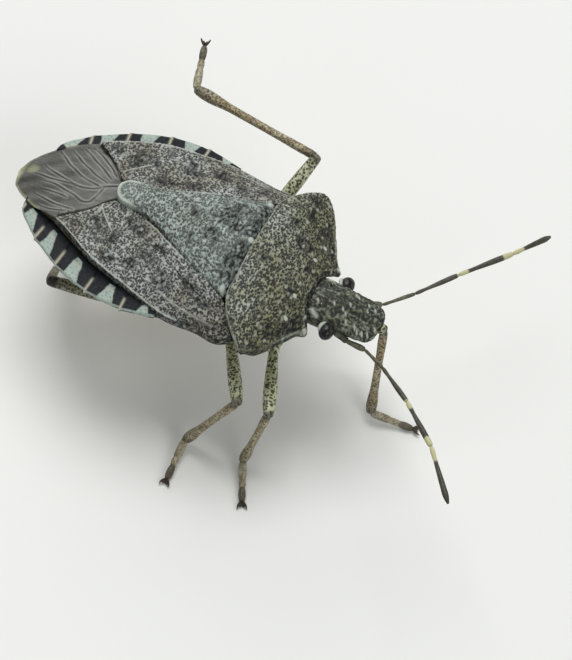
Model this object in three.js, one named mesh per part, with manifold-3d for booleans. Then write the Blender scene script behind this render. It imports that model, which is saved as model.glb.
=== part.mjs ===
// A shield bug, life size, in millimetres: +X points to the head, +Y to its left side, +Z up.
// The body stands level on five feet and the left hind leg is lifted, reaching back.
// Body and leg places are given from the datum: the middle of the shield's base, on the level of the folded wings.
import * as THREE from 'three';
import { mergeVertices } from 'three/addons/utils/BufferGeometryUtils.js';
import Module from 'manifold-3d';

const wasm = await Module();
wasm.setup();

// Driving dimensions
const GAP = 0.25; // between neighbouring pieces
const WING_LEVEL = 5.9; // the datum's height above the floor
const BODY_HALF_WIDTH = 4.15; // at the abdomen's edge
const SHOULDER_HALF_WIDTH = 4.0;
const SHIELD_TIP = -5.44;
const TAIL = -9.57; // tip of the folded wings
const HEAD_TIP = 5.76;
const BODY_DEPTH = 2.35; // belly below the datum
const WING_THICKNESS = 0.5;
const PRONOTUM_THICKNESS = 0.6;
const LEG_RADIUS = { femur: 0.29, tibia: 0.25, tarsus: 0.22, coxa: 0.42 };
const FEELER_RADIUS = 0.25;
const SIDES = { left: 1, right: -1 };

const bug = new THREE.Group();

// Geometry tools

// A smooth curve through points [x, value], x rising.
function through(...points) {
  const spline = new THREE.CubicInterpolant(points.map((p) => p[0]), points.map((p) => p[1]), 1, [0]);
  return (x) => spline.evaluate(x)[0];
}

// Merges a geometry into one closed surface with its faces turned outwards.
function closed(geometry) {
  geometry.deleteAttribute('normal');
  geometry.deleteAttribute('uv');
  const merged = mergeVertices(geometry, 1e-5);
  const corners = [new THREE.Vector3(), new THREE.Vector3(), new THREE.Vector3()];
  const faces = [];
  let volume = 0;
  for (let i = 0; i < merged.index.count; i += 3) {
    const [a, b, c] = [0, 1, 2].map((k) => merged.index.getX(i + k));
    if (a === b || b === c || c === a) continue;
    [a, b, c].forEach((vertex, k) => corners[k].fromBufferAttribute(merged.attributes.position, vertex));
    volume += corners[0].dot(corners[1].clone().cross(corners[2]));
    faces.push([a, b, c]);
  }
  merged.setIndex(faces.flatMap(([a, b, c]) => (volume > 0 ? [a, b, c] : [a, c, b])));
  return merged;
}

// Moves each vertex of a simple solid to its place on the body.
function shaped(geometry, place) {
  const position = geometry.attributes.position;
  const vertex = new THREE.Vector3();
  for (let i = 0; i < position.count; i++) {
    vertex.fromBufferAttribute(position, i);
    position.setXYZ(i, ...place(vertex));
  }
  return closed(geometry);
}

function toSolid(geometry) {
  return new wasm.Manifold(new wasm.Mesh({
    numProp: 3,
    vertProperties: new Float32Array(geometry.attributes.position.array),
    triVerts: new Uint32Array(geometry.index.array),
  }));
}

// The largest closed surface of a solid, as a geometry.
function largest(whole) {
  const best = whole.decompose().reduce((a, b) => (b.volume() > a.volume() ? b : a));
  const mesh = best.getMesh();
  const geometry = new THREE.BufferGeometry();
  geometry.setAttribute('position', new THREE.BufferAttribute(mesh.vertProperties, 3));
  geometry.setIndex([...mesh.triVerts]);
  return geometry;
}

function add(name, geometry, colour, roughness = 0.6, metalness = 0) {
  const mesh = new THREE.Mesh(geometry, new THREE.MeshStandardMaterial({ color: colour, roughness, metalness }));
  mesh.name = name;
  bug.add(mesh);
}

// A plate of the back: outline(u, v) gives its plan, with u and v running from 0 to 1,
// top and bottom give its heights, and its upper edge is eased by a small bevel.
function plate(along, across, outline, top, bottom) {
  const EDGE = 0.02; // bevel, as a share of the plan
  const SHOULDER = 0.35; // how far up the thickness the bevel starts
  const ease = (t, inset) => inset + t * (1 - 2 * inset);
  return shaped(new THREE.BoxGeometry(1, 1, 1, along, across, 2), (vertex) => {
    const inset = vertex.z > 0.25 ? EDGE : 0;
    const [x, y] = outline(ease(vertex.x + 0.5, inset), ease(vertex.y + 0.5, inset));
    const share = vertex.z > 0.25 ? 1 : vertex.z > -0.25 ? 1 - SHOULDER : 0;
    return [x, y, THREE.MathUtils.lerp(bottom(x, y), top(x, y), share)];
  });
}

// Outlines in plan, as half widths along the body

const abdomenEdge = through(
  [-8.95, 0.75], [-8.6, 1.65], [-8, 2.35], [-7, 3.1], [-5.7, 3.78], [-4.4, BODY_HALF_WIDTH - 0.03],
  [-3.3, BODY_HALF_WIDTH], [-1.6, 3.85], [0, 3.72], [1, 3.85],
);
const wingEdge = through(
  [-7.1, 2.05], [-5.9, 2.67], [-5.2, 3.02], [-4.4, 3.28], [-3.6, 3.46], [-2.7, 3.66], [-1.8, 3.79], [-0.4, 3.7], [1, 3.72],
);
const membraneEdge = through(
  [TAIL, 0.12], [-9.45, 0.55], [-9.2, 0.9], [-8.8, 1.24], [-8.3, 1.58], [-7.8, 1.8], [-7.1, 2],
);
const shieldEdge = through([-4.9, 0.56], [-4.2, 0.64], [-3.5, 0.86], [-2.7, 1.24], [-1.6, 1.74], [-0.6, 2.14], [0, 2.4]);
const pronotumRear = through([0, 0.2], [1.6, 0.21], [2.35, 0.2], [2.9, 0.42], [3.5, 0.87], [SHOULDER_HALF_WIDTH, 1.45]);
const pronotumFront = through(
  [0, 2.92], [0.8, 2.95], [1.25, 3.17], [1.58, 3.32], [1.85, 3.07], [2.3, 2.82], [2.8, 2.55],
  [3.35, 2.26], [3.8, 1.93], [SHOULDER_HALF_WIDTH, 1.65],
);
const headEdge = through(
  [3, 1.1], [3.5, 1.02], [3.9, 0.86], [4.3, 0.9], [4.66, 0.97], [5.1, 0.94], [5.35, 0.84], [5.55, 0.64], [5.7, 0.36],
  [HEAD_TIP, 0.12],
);

// Heights above the datum

const wingCrest = through([TAIL, -0.25], [-8.5, 0.28], [-7, 0.86], [-5.5, 1.05], [-3, 1.2], [0, 1.25], [3, 1.2]);
const WING_FALL = 0.059;
// The wings' outer edges bend down in front and lie flatter behind.
const wingBend = through(
  [TAIL, -0.009], [-7, -0.008], [-5.9, -0.0037], [-4.4, -0.0012], [-2.7, 0.0005], [-0.9, 0.0021], [1, 0.003],
);
const wingTop = (x, y) => wingCrest(x) - WING_FALL * y ** 2 - wingBend(x) * y ** 4;
const wingUnderside = (x, y) => wingTop(x, y) - WING_THICKNESS;
const shieldCrest = through([SHIELD_TIP, 1.42], [-4.5, 1.53], [-2.7, 1.57], [0, 1.57]);
// How far the shield's sides stand above the wings.
const shieldStep = through([SHIELD_TIP, 0.28], [-4.5, 0.25], [-3, 0.16], [-1.5, 0.05], [0, 0.05]);
const pronotumFall = through([0, 0.11], [1.65, 0.07], [2.45, 0.125], [3.3, 0.2]);
const pronotumCrest = (x) => 1.57 - 0.1 * x - 0.12 * x ** 2;
const pronotumTop = (x, y) => pronotumCrest(x) - pronotumFall(x) * Math.abs(y) ** 1.6;
const pronotumUnderside = (x, y) => pronotumTop(x, y) - PRONOTUM_THICKNESS;
const bellyDepth = through(
  [-8.95, 0.35], [-8, 1.05], [-6.6, 1.65], [-4.5, 1.98], [-2, BODY_DEPTH - 0.35], [0.6, 1.98], [1.8, 1.72], [2.9, 1.2],
);
const bellyRim = through([-9, -0.25], [-7, -0.38], [-2, -0.35], [1, -0.1], [1.9, -0.2], [2.9, -0.55]);
const BELLY_FULLNESS = 0.9;

// The underside, for a body that is halfWidth wide at x.
function belly(x, y, halfWidth) {
  const inside = Math.max(0, 1 - (y / halfWidth) ** 2);
  return bellyRim(x) - bellyDepth(x) * inside ** BELLY_FULLNESS;
}

// Back plates

const SHIELD_FRONT = -0.05;
const SHIELD_TONGUE = 0.56; // half width of the shield's rounded tip
const shieldTongueStart = SHIELD_TIP + SHIELD_TONGUE;

function shieldHalfWidth(x) {
  if (x > shieldTongueStart) return shieldEdge(x);
  const reach = Math.min(1, (shieldTongueStart - x) / SHIELD_TONGUE);
  return Math.max(0.08, SHIELD_TONGUE * Math.sqrt(1 - reach ** 2));
}

function shieldTop(x, y) {
  const edge = shieldHalfWidth(x);
  const drop = shieldCrest(x) - wingTop(x, edge) - shieldStep(x);
  return shieldCrest(x) - drop * (y / edge) ** 2;
}

// Steps along a plate grow finer towards its rounded tip.
const towardsTip = (u) => Math.sin((u * Math.PI) / 2);

add('scutellum', plate(16, 10, (u, v) => {
  const x = THREE.MathUtils.lerp(SHIELD_FRONT, SHIELD_TIP, towardsTip(u));
  return [x, shieldHalfWidth(x) * (2 * v - 1)];
}, shieldTop, wingUnderside), 0x77776f, 0.62);

add('pronotum', plate(10, 24, (u, v) => {
  const y = SHOULDER_HALF_WIDTH * (2 * v - 1);
  const side = Math.abs(y);
  return [THREE.MathUtils.lerp(pronotumRear(side), pronotumFront(side), u), y];
}, pronotumTop, pronotumUnderside), 0x64625a, 0.6);

// The inner edge of the leathery forewing: along the pronotum, then the shield, then the membrane's seam.
const SEAM_START = -4.55;
const WING_TIP = -7.08;
const WING_FRONT = 0.55;
const besidePronotum = through([-0.05, 2.67], [0.1, 2.93], [0.4, 3.27], [WING_FRONT, 3.4]);
const seam = through([WING_TIP, 1.97], [-6.6, 1.62], [-6.05, 1.17], [-5.65, 0.86], [-5.1, 0.86], [SEAM_START, 0.92]);

function wingInner(x) {
  if (x < SEAM_START) return seam(x);
  return Math.max(shieldEdge(x) + GAP, x > -0.05 ? besidePronotum(x) : 0);
}

for (const [side, sign] of Object.entries(SIDES)) {
  add(`corium_${side}`, plate(18, 6, (u, v) => {
    const x = THREE.MathUtils.lerp(WING_FRONT, WING_TIP, u);
    return [x, sign * THREE.MathUtils.lerp(wingInner(x), wingEdge(x), v)];
  }, wingTop, wingUnderside), 0x6f6964, 0.62);
}

// The two membranes: the right one lies on top, and the left one shows along its edge.
// Each vein is a ridge raised in the membrane's own surface.
const VEIN_HEIGHT = 0.09;
const MEMBRANE_SEAM_GAP = 0.42; // across the body, as the seam runs slantwise
const overlapEdge = through(
  [TAIL, -0.1], [-9.2, -0.4], [-8.6, -0.75], [-8, -1.05], [-7.2, -1.15], [-6.6, -0.95], [-6.1, -0.65], [-5.3, 0],
);
const TIP_CLEARING = 0.45; // the membrane widens over this length behind the leathery wing's tip
const MEMBRANE_LEAST_WIDTH = 0.15;

function membraneOuter(x) {
  const besideSeam = Math.max(0.1, seam(Math.max(x, WING_TIP)) - MEMBRANE_SEAM_GAP);
  const widening = THREE.MathUtils.clamp((WING_TIP - x) / TIP_CLEARING, 0, 1);
  return THREE.MathUtils.lerp(besideSeam, membraneEdge(Math.min(x, WING_TIP)), widening);
}

const MEMBRANES = {
  right: { front: SHIELD_TIP - GAP, back: TAIL, inner: overlapEdge, columns: 19, veins: [3, 6, 9, 12, 15, 17] },
  left: { front: -6.95, back: -9.2, inner: (x) => GAP - overlapEdge(x), columns: 5, veins: [3] },
};

for (const [side, { front, back, inner, columns, veins }] of Object.entries(MEMBRANES)) {
  const sign = SIDES[side];
  const ridge = (v) => (veins.includes(Math.round(v * columns)) ? VEIN_HEIGHT : 0);
  add(`membrane_${side}`, shaped(new THREE.BoxGeometry(1, 1, 1, 14, columns, 1), (vertex) => {
    const u = vertex.x + 0.5;
    const v = vertex.y + 0.5;
    const x = THREE.MathUtils.lerp(front, back, u);
    const y = sign * THREE.MathUtils.lerp(inner(x), Math.max(membraneOuter(x), inner(x) + MEMBRANE_LEAST_WIDTH), v);
    const z = vertex.z > 0 ? wingTop(x, y) + ridge(v) * Math.sin(Math.PI * u) ** 0.5 : wingUnderside(x, y);
    return [x, y, z];
  }), 0x5b564e, 0.4);
}

// Abdomen: its belly and back, and the banded rims that show beside the wings

const SEGMENT_JOINTS = [-8.5, -7.57, -6.34, -4.83, -3.3];
const RIM_TOOTH = 0.09; // each segment ends in a small tooth
const TOOTH_RUN = 0.3;
const RIM_FRONT = -2.7;
const RIM_REAR = -8.45;
const RIM_RISE = 0.12;
const RIM_LEAST_WIDTH = 0.2;

function rimOuter(x) {
  const nearest = Math.min(...SEGMENT_JOINTS.map((joint) => Math.abs(x - joint)));
  return abdomenEdge(x) + RIM_TOOTH * Math.max(0, 1 - nearest / TOOTH_RUN);
}

const rimInner = (x) => Math.min((x < WING_TIP ? membraneEdge(x) : wingEdge(x)) + GAP, abdomenEdge(x) - RIM_LEAST_WIDTH);

for (const [side, sign] of Object.entries(SIDES)) {
  add(`connexivum_${side}`, shaped(new THREE.BoxGeometry(1, 1, 1, 36, 2, 1), (vertex) => {
    const x = THREE.MathUtils.lerp(RIM_FRONT, RIM_REAR, vertex.x + 0.5);
    const y = THREE.MathUtils.lerp(rimInner(x), rimOuter(x), vertex.y + 0.5);
    const top = RIM_RISE * (0.5 - vertex.y);
    return [x, sign * y, vertex.z > 0 ? top : belly(x, y, abdomenEdge(x))];
  }), 0x8f9d96, 0.55);
}

const ABDOMEN_FRONT = -1.9;
const ABDOMEN_REAR = -8.8;

const ABDOMEN_EDGE = 0.3; // its thickness at its sides
const abdomenHalfWidth = (x) => rimInner(x) - GAP;

add('abdomen', shaped(new THREE.BoxGeometry(1, 1, 1, 18, 14, 1), (vertex) => {
  const x = THREE.MathUtils.lerp(ABDOMEN_FRONT, ABDOMEN_REAR, vertex.x + 0.5);
  const y = abdomenHalfWidth(x) * vertex.y * 2;
  const top = wingUnderside(x, y) - GAP;
  return [x, y, vertex.z > 0 ? top : Math.min(top - ABDOMEN_EDGE, belly(x, y, abdomenEdge(x)))];
}), 0x8d8672, 0.55);

const THORAX_FRONT = 2.85;
const THORAX_REAR = ABDOMEN_FRONT + GAP;
const THORAX_CLEARANCE = 0.35; // below the back plates
const THORAX_EDGE = 0.14;
const THORAX_FLARE = 0.1; // the breast curves as if it were this much wider
const thoraxHalfWidth = through([-1.6, 3.5], [0, 3.45], [1, 3.6], [1.5, 3.6], [1.9, 3.3], [2.4, 2.4], [2.85, 1.7]);

add('thorax', shaped(new THREE.BoxGeometry(1, 1, 1, 12, 14, 1), (vertex) => {
  const x = THREE.MathUtils.lerp(THORAX_FRONT, THORAX_REAR, vertex.x + 0.5);
  const y = thoraxHalfWidth(x) * vertex.y * 2;
  const top = Math.min(wingUnderside(x, y), pronotumUnderside(Math.max(x, 0), y)) - THORAX_CLEARANCE;
  return [x, y, vertex.z > 0 ? top : Math.min(top - THORAX_EDGE, belly(x, y, thoraxHalfWidth(x) + THORAX_FLARE))];
}), 0x7d7868, 0.55);

// Head, eyes and beak

const headCrest = through([3, 0.22], [3.6, 0.2], [4.3, 0.12], [5, -0.06], [5.5, -0.25], [HEAD_TIP, -0.42]);
const HEAD_ROUNDNESS = 0.42;
const HEAD_TUCK = 0.28; // the cheeks slope in below
const HEAD_EDGE = 0.15; // its least thickness
const headTop = (x, y) => headCrest(x) - HEAD_ROUNDNESS * y ** 2;
const headUnderside = through([3, -1.45], [4, -1.42], [4.8, -1.2], [5.4, -0.85], [HEAD_TIP, -0.58]);

add('head', shaped(new THREE.BoxGeometry(1, 1, 1, 14, 10, 3), (vertex) => {
  const across = vertex.y * 2;
  const backOfHead = pronotumFront(Math.abs(across) * headEdge(3.3)) + GAP;
  const x = THREE.MathUtils.lerp(backOfHead, HEAD_TIP, towardsTip(vertex.x + 0.5));
  const height = vertex.z + 0.5;
  const tuck = 1 - HEAD_TUCK * (1 - height) ** 2;
  const y = across * headEdge(x) * tuck;
  const top = headTop(x, y);
  const bottom = headUnderside(x) + 0.25 * across ** 2;
  return [x, y, THREE.MathUtils.lerp(Math.min(bottom, top - HEAD_EDGE), top, height)];
}), 0x5f5d56, 0.6);

const EYE_PLACE = { x: 3.93, y: 1.19, z: -0.45 };
const EYE_RADIUS = { x: 0.34, y: 0.41, z: 0.32 };

for (const [side, sign] of Object.entries(SIDES)) {
  add(`eye_${side}`, shaped(new THREE.SphereGeometry(1, 14, 9), (vertex) => [
    EYE_PLACE.x + vertex.x * EYE_RADIUS.x,
    sign * (EYE_PLACE.y + Math.max(0, vertex.y) * EYE_RADIUS.y),
    EYE_PLACE.z + vertex.z * EYE_RADIUS.z,
  ]), 0x2b211c, 0.3);
}

// The beak leaves the head in front and lies back along the breast, between the legs.
const beakPath = new THREE.CatmullRomCurve3([
  new THREE.Vector3(4.75, 0, -1.75), new THREE.Vector3(3.9, 0, -2.05), new THREE.Vector3(2.6, 0, -2.45),
  new THREE.Vector3(1.2, 0, -2.72), new THREE.Vector3(-0.8, 0, -2.9),
]);
const BEAK_RADIUS = 0.25;

add('rostrum', shaped(new THREE.CylinderGeometry(1, 1, 1, 8, 12), (vertex) => {
  const t = vertex.y + 0.5;
  const centre = beakPath.getPoint(t);
  const radius = BEAK_RADIUS * (1 - 0.5 * t ** 3);
  return [centre.x, vertex.x * radius, centre.z + vertex.z * radius];
}), 0x6b5f4c, 0.45);

// Legs and feelers: each length is turned about its own line, with a rounded far end centred on the joint,
// and its near end stops short of the joint before it.

// profile holds [share of the length, radius]; the far end is rounded off.
function limb(from, to, setback, profile, sides = 10) {
  const axis = to.clone().sub(from);
  const length = axis.length();
  axis.normalize();
  const endRadius = profile[profile.length - 1][1];
  const reach = length - setback;
  const points = [new THREE.Vector2(0, 0)];
  profile.forEach(([share, radius]) => points.push(new THREE.Vector2(radius, share * reach)));
  for (const angle of [30, 60]) {
    const turn = THREE.MathUtils.degToRad(angle);
    points.push(new THREE.Vector2(endRadius * Math.cos(turn), reach + endRadius * Math.sin(turn)));
  }
  points.push(new THREE.Vector2(0, reach + endRadius));
  const turned = new THREE.LatheGeometry(points, sides);
  const rotation = new THREE.Quaternion().setFromUnitVectors(new THREE.Vector3(0, 1, 0), axis);
  const start = from.clone().addScaledVector(axis, setback);
  return shaped(turned, (vertex) => vertex.applyQuaternion(rotation).add(start));
}

const at = (x, y, z) => new THREE.Vector3(x, y, z);

// How far a length stops short of the joint before it, so that it clears the rounded end of that one by the gap,
// also where the two are folded sharply.
function shortOf(before, joint, after, endRadius, ownRadius) {
  const fold = before.clone().sub(joint).angleTo(after.clone().sub(joint));
  const clear = endRadius + GAP;
  return fold > Math.PI / 2 ? clear : Math.max(clear, (clear + ownRadius * Math.cos(fold)) / Math.sin(fold));
}

// The sole of a foot is cut flat at the floor.
const FLOOR = -WING_LEVEL;
const FLOOR_SIZE = 40;
const belowFloor = toSolid(closed(new THREE.BoxGeometry(FLOOR_SIZE, FLOOR_SIZE, 1).translate(0, 0, FLOOR - 0.5)));

const PAD_JOINT = 0.62; // where the second pad begins, as a share of the foot
const PAD_OVERLAP = 0.15;
const CLAW = { length: 0.42, spread: 0.26, radius: 0.13 };

// A foot: two pads and a claw joint that spreads into two claws.
function foot(ankle, toe, resting) {
  const { tarsus } = LEG_RADIUS;
  const clear = tarsus + GAP;
  const axis = toe.clone().sub(ankle).normalize();
  const middle = ankle.clone().lerp(toe, PAD_JOINT);
  const secondPad = middle.clone().addScaledVector(axis, -PAD_OVERLAP);
  const pads = [
    limb(ankle, middle, clear, [[0, tarsus * 0.8], [0.45, tarsus], [0.9, tarsus * 0.9], [1, tarsus * 0.75]], 8),
    limb(secondPad, toe, 0, [[0, tarsus * 0.6], [0.6, tarsus * 0.95], [1, tarsus * 0.8]], 8),
  ];
  const aside = axis.clone().cross(at(0, 0, 1)).normalize();
  for (const sign of Object.values(SIDES)) {
    const tip = toe.clone().addScaledVector(axis, CLAW.length).addScaledVector(aside, sign * CLAW.spread);
    pads.push(limb(toe, tip, 0, [[0, CLAW.radius], [0.6, CLAW.radius * 0.77], [1, CLAW.radius * 0.4]], 6));
  }
  const whole = pads.map(toSolid).reduce((sum, pad) => sum.add(pad));
  return largest(resting ? whole.subtract(belowFloor) : whole);
}

const ANKLE = 0.42; // height of a resting foot's ankle joint
const TOE = 0.12;
const LEGS = {
  front_left: {
    hip: at(1.9, 1, -2.17), knee: at(5.4, 1.61, -2.93),
    ankle: at(6.03, -0.47, FLOOR + ANKLE), toe: at(7.72, -0.2, FLOOR + TOE),
  },
  front_right: {
    hip: at(1.9, -1, -2.17), knee: at(3.17, -4.35, -2.43),
    ankle: at(2.57, -4.78, FLOOR + ANKLE), toe: at(3.26, -6.3, FLOOR + TOE),
  },
  middle_left: {
    hip: at(0.1, 1.2, -2.34), knee: at(0.61, 5.11, -1.7),
    ankle: at(0.27, 4.96, FLOOR + ANKLE), toe: at(-0.15, 6.7, FLOOR + TOE),
  },
  middle_right: {
    hip: at(0.1, -1.2, -2.34), knee: at(1.98, -4.67, -2.02),
    ankle: at(0.2, -4.94, FLOOR + ANKLE), toe: at(0.28, -6.7, FLOOR + TOE),
  },
  hind_left: {
    hip: at(-1.2, 1.35, -2.5), knee: at(0.38, 5.67, 0.17),
    ankle: at(-4.97, 5.98, 0.81), toe: at(-5.5, 7.85, 1.06),
  },
  hind_right: {
    hip: at(-1.2, -1.35, -2.52), knee: at(-6.76, -2.9, -2.12),
    ankle: at(-7.73, 1.15, FLOOR + ANKLE), toe: at(-8.95, 2.68, FLOOR + TOE),
  },
};
const HIP_DROP = at(0, 0, -0.42); // the hip joint hangs below the breast
const HIP_REACH = 0.25; // and this far out from its root
const { coxa, femur, tibia } = LEG_RADIUS;
const hipEnd = coxa * 0.72;
const thighRoot = femur * 0.75;
const kneeEnd = femur * 0.9;
const shinRoot = tibia * 0.85;

for (const [name, { hip, knee, ankle, toe }] of Object.entries(LEGS)) {
  const outward = knee.clone().sub(hip).setZ(0).normalize();
  const joint = hip.clone().add(HIP_DROP).addScaledVector(outward, HIP_REACH);
  add(`coxa_${name}`, limb(hip, joint, 0, [[0, coxa], [0.5, coxa * 0.95], [1, hipEnd]]), 0x77705c, 0.5);
  add(`femur_${name}`, limb(joint, knee, shortOf(hip, joint, knee, hipEnd, thighRoot), [
    [0, thighRoot], [0.12, femur * 0.95], [0.5, femur * 1.08], [0.85, femur], [1, kneeEnd],
  ]), 0x7c776b, 0.5);
  add(`tibia_${name}`, limb(knee, ankle, shortOf(joint, knee, ankle, kneeEnd, shinRoot), [
    [0, shinRoot], [0.3, tibia * 0.92], [0.8, tibia], [1, tibia * 0.9],
  ]), 0x85745c, 0.5);
  add(`tarsus_${name}`, foot(ankle, toe, name !== 'hind_left'), 0x6a5b49, 0.5);
}

const FEELERS = {
  left: [
    at(4.62, 1.18, -1.0), at(5.26, 1.22, -0.85), at(6.14, 2.31, -0.9),
    at(7.32, 3.71, -0.62), at(8.83, 5.43, -0.36), at(9.66, 7.5, -1.24),
  ],
  right: [
    at(4.62, -1.18, -1.0), at(5.38, -1.05, -0.95), at(6.49, -1.72, -0.39),
    at(7.97, -2.81, -0.23), at(9.61, -4.4, 0.06), at(11.13, -6.23, -0.23),
  ],
};
const FEELER_COLOURS = [0x6e6552, 0x6b5642, 0x3a322a, 0x4a4236, 0x463e33];
const FEELER_END = 0.85; // radius at a joint, as a share
const FEELER_TIP = 0.35;

for (const [side, joints] of Object.entries(FEELERS)) {
  joints.slice(1).forEach((joint, i) => {
    const tip = i === FEELER_COLOURS.length - 1 ? FEELER_TIP : FEELER_END;
    const setback = i === 0 ? 0 : FEELER_RADIUS * FEELER_END + GAP;
    add(`antenna_${side}_${i + 1}`, limb(joints[i], joint, setback, [
      [0, FEELER_RADIUS * 0.8], [0.5, FEELER_RADIUS], [0.85, FEELER_RADIUS * 0.95], [1, FEELER_RADIUS * tip],
    ], 8), FEELER_COLOURS[i], 0.45);
  });
}

// The part stands on the floor with its origin at the middle of its outline.
const box = new THREE.Box3().setFromObject(bug);
const middle = box.getCenter(new THREE.Vector3());
bug.position.set(-middle.x, -middle.y, WING_LEVEL);

export default bug;
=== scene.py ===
import math

import bpy
import numpy as np
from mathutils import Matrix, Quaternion, Vector


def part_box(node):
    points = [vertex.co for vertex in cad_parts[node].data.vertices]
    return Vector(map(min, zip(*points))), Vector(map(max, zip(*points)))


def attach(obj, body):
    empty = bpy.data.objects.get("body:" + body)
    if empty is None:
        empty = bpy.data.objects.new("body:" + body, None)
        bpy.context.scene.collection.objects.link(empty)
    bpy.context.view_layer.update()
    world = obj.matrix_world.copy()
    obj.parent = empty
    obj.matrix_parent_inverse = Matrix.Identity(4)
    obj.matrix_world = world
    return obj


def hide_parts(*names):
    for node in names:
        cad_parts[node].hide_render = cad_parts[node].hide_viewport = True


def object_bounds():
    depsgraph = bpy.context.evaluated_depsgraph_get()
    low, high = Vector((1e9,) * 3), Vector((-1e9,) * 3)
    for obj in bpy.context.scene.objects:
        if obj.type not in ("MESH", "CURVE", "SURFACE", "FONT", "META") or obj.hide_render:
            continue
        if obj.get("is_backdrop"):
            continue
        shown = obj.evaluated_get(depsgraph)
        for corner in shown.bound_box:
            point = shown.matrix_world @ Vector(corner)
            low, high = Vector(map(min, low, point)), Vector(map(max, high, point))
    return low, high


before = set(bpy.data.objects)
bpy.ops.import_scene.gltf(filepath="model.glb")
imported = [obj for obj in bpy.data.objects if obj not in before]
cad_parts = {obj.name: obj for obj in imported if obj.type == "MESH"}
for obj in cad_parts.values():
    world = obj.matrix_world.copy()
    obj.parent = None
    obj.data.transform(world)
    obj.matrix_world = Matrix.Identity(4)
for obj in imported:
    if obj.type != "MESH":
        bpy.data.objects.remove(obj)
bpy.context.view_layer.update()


# The studio: a pale matt floor that the model stands on, lit by three large soft panels in a pale room.
# None of it belongs to the model.
MM = 0.001
FLOOR_HALF = 600 * MM
FLOOR_MOTTLE = 40  # millimetres
ROOM_LIGHT = 0.3


def tone(red, green, blue):
    """A colour given in screen values from 0 to 255, as the linear colour that a shader takes."""
    shares = [channel / 255 for channel in (red, green, blue)]
    linear = [s / 12.92 if s < 0.04045 else ((s + 0.055) / 1.055) ** 2.4 for s in shares]
    return (*linear, 1.0)


class Term:
    """A number on its way through a node tree, so that a sum on it is written as a sum."""

    def __init__(self, recipe, socket):
        self.recipe = recipe
        self.socket = socket

    def worked(self, operation, *terms):
        return self.recipe.node("ShaderNodeMath", {"operation": operation}, dict(enumerate(terms)))

    def __add__(self, other):
        return self.worked("ADD", self, other)

    __radd__ = __add__

    def __sub__(self, other):
        return self.worked("SUBTRACT", self, other)

    def __rsub__(self, other):
        return self.worked("SUBTRACT", other, self)

    def __mul__(self, other):
        return self.worked("MULTIPLY", self, other)

    __rmul__ = __mul__

    def most(self, other):
        return self.worked("MAXIMUM", self, other)

    def rising(self, low, high):
        """0 below low, 1 above high and a smooth rise between them."""
        limits = {"Value": self, "From Min": low, "From Max": high}
        return self.recipe.node("ShaderNodeMapRange", {"interpolation_type": "SMOOTHSTEP"}, limits)


class Recipe:
    """A node tree that is put together node by node."""

    def __init__(self, tree):
        self.tree = tree

    def feed(self, socket, value):
        if isinstance(value, Term):
            self.tree.links.new(value.socket, socket)
        else:
            socket.default_value = value

    def node(self, kind, settings, values, output=0):
        made = self.tree.nodes.new(kind)
        for setting, value in settings.items():
            setattr(made, setting, value)
        for socket, value in values.items():
            self.feed(made.inputs[socket], value)
        return Term(self, made.outputs[output])


class Finish(Recipe):
    """A surface finish: constants go to the shader's own sockets, and what varies comes from nodes."""

    def __init__(self, name, **constants):
        self.material = bpy.data.materials.new(name)
        self.material.use_nodes = True
        super().__init__(self.material.node_tree)
        self.tree.nodes.clear()
        self.shader = self.tree.nodes.new("ShaderNodeBsdfPrincipled")
        end = self.tree.nodes.new("ShaderNodeOutputMaterial")
        self.tree.links.new(self.shader.outputs[0], end.inputs["Surface"])
        for socket, value in constants.items():
            self.shader.inputs[socket.replace("_", " ")].default_value = value

    def place(self, stretch=(1, 1, 1)):
        """Object coordinates in millimetres, each axis multiplied by its stretch."""
        here = self.node("ShaderNodeTexCoord", {}, {}, "Object")
        scale = tuple(factor / MM for factor in stretch)
        return self.node("ShaderNodeVectorMath", {"operation": "MULTIPLY"}, {0: here, 1: scale})

    def mottle(self, size, detail=3, stretch=(1, 1, 1)):
        """Soft blotches of about that size in millimetres, from 0 to 1."""
        values = {"Vector": self.place(stretch), "Scale": 1 / size, "Detail": detail}
        return self.node("ShaderNodeTexNoise", {}, values)

    def specks(self, size, stretch=(1, 1, 1)):
        """Distance from the nearest of many scattered specks, 0 at each speck's middle."""
        values = {"Vector": self.place(stretch), "Scale": 1 / size}
        return self.node("ShaderNodeTexVoronoi", {}, values)

    def mark(self, name):
        """A marking that is stored on the mesh."""
        return self.node("ShaderNodeAttribute", {"attribute_name": name}, {}, "Fac")

    def blend(self, first, second, share):
        return self.node("ShaderNodeMix", {"data_type": "RGBA"}, {0: share, 6: first, 7: second}, 2)

    def layered(self, colour, *layers):
        """A ground colour with layers laid over it in turn, each given as (colour, share)."""
        for layer, share in layers:
            colour = self.blend(colour, layer, share)
        return colour

    def paint(self, **sockets):
        for socket, value in sockets.items():
            self.feed(self.shader.inputs[socket.replace("_", " ")], value)

    def relief(self, height, depth):
        """Fine relief, depth millimetres deep."""
        values = {"Height": height, "Distance": depth * MM}
        self.paint(Normal=self.node("ShaderNodeBump", {}, values))


def shown(name, points, faces, material):
    """A mesh object at the origin, smooth all over."""
    mesh = bpy.data.meshes.new(name)
    mesh.from_pydata(points.tolist(), [], faces)
    mesh.materials.append(material)
    mesh.shade_smooth()
    made = bpy.data.objects.new(name, mesh)
    bpy.context.scene.collection.objects.link(made)
    return made


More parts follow.
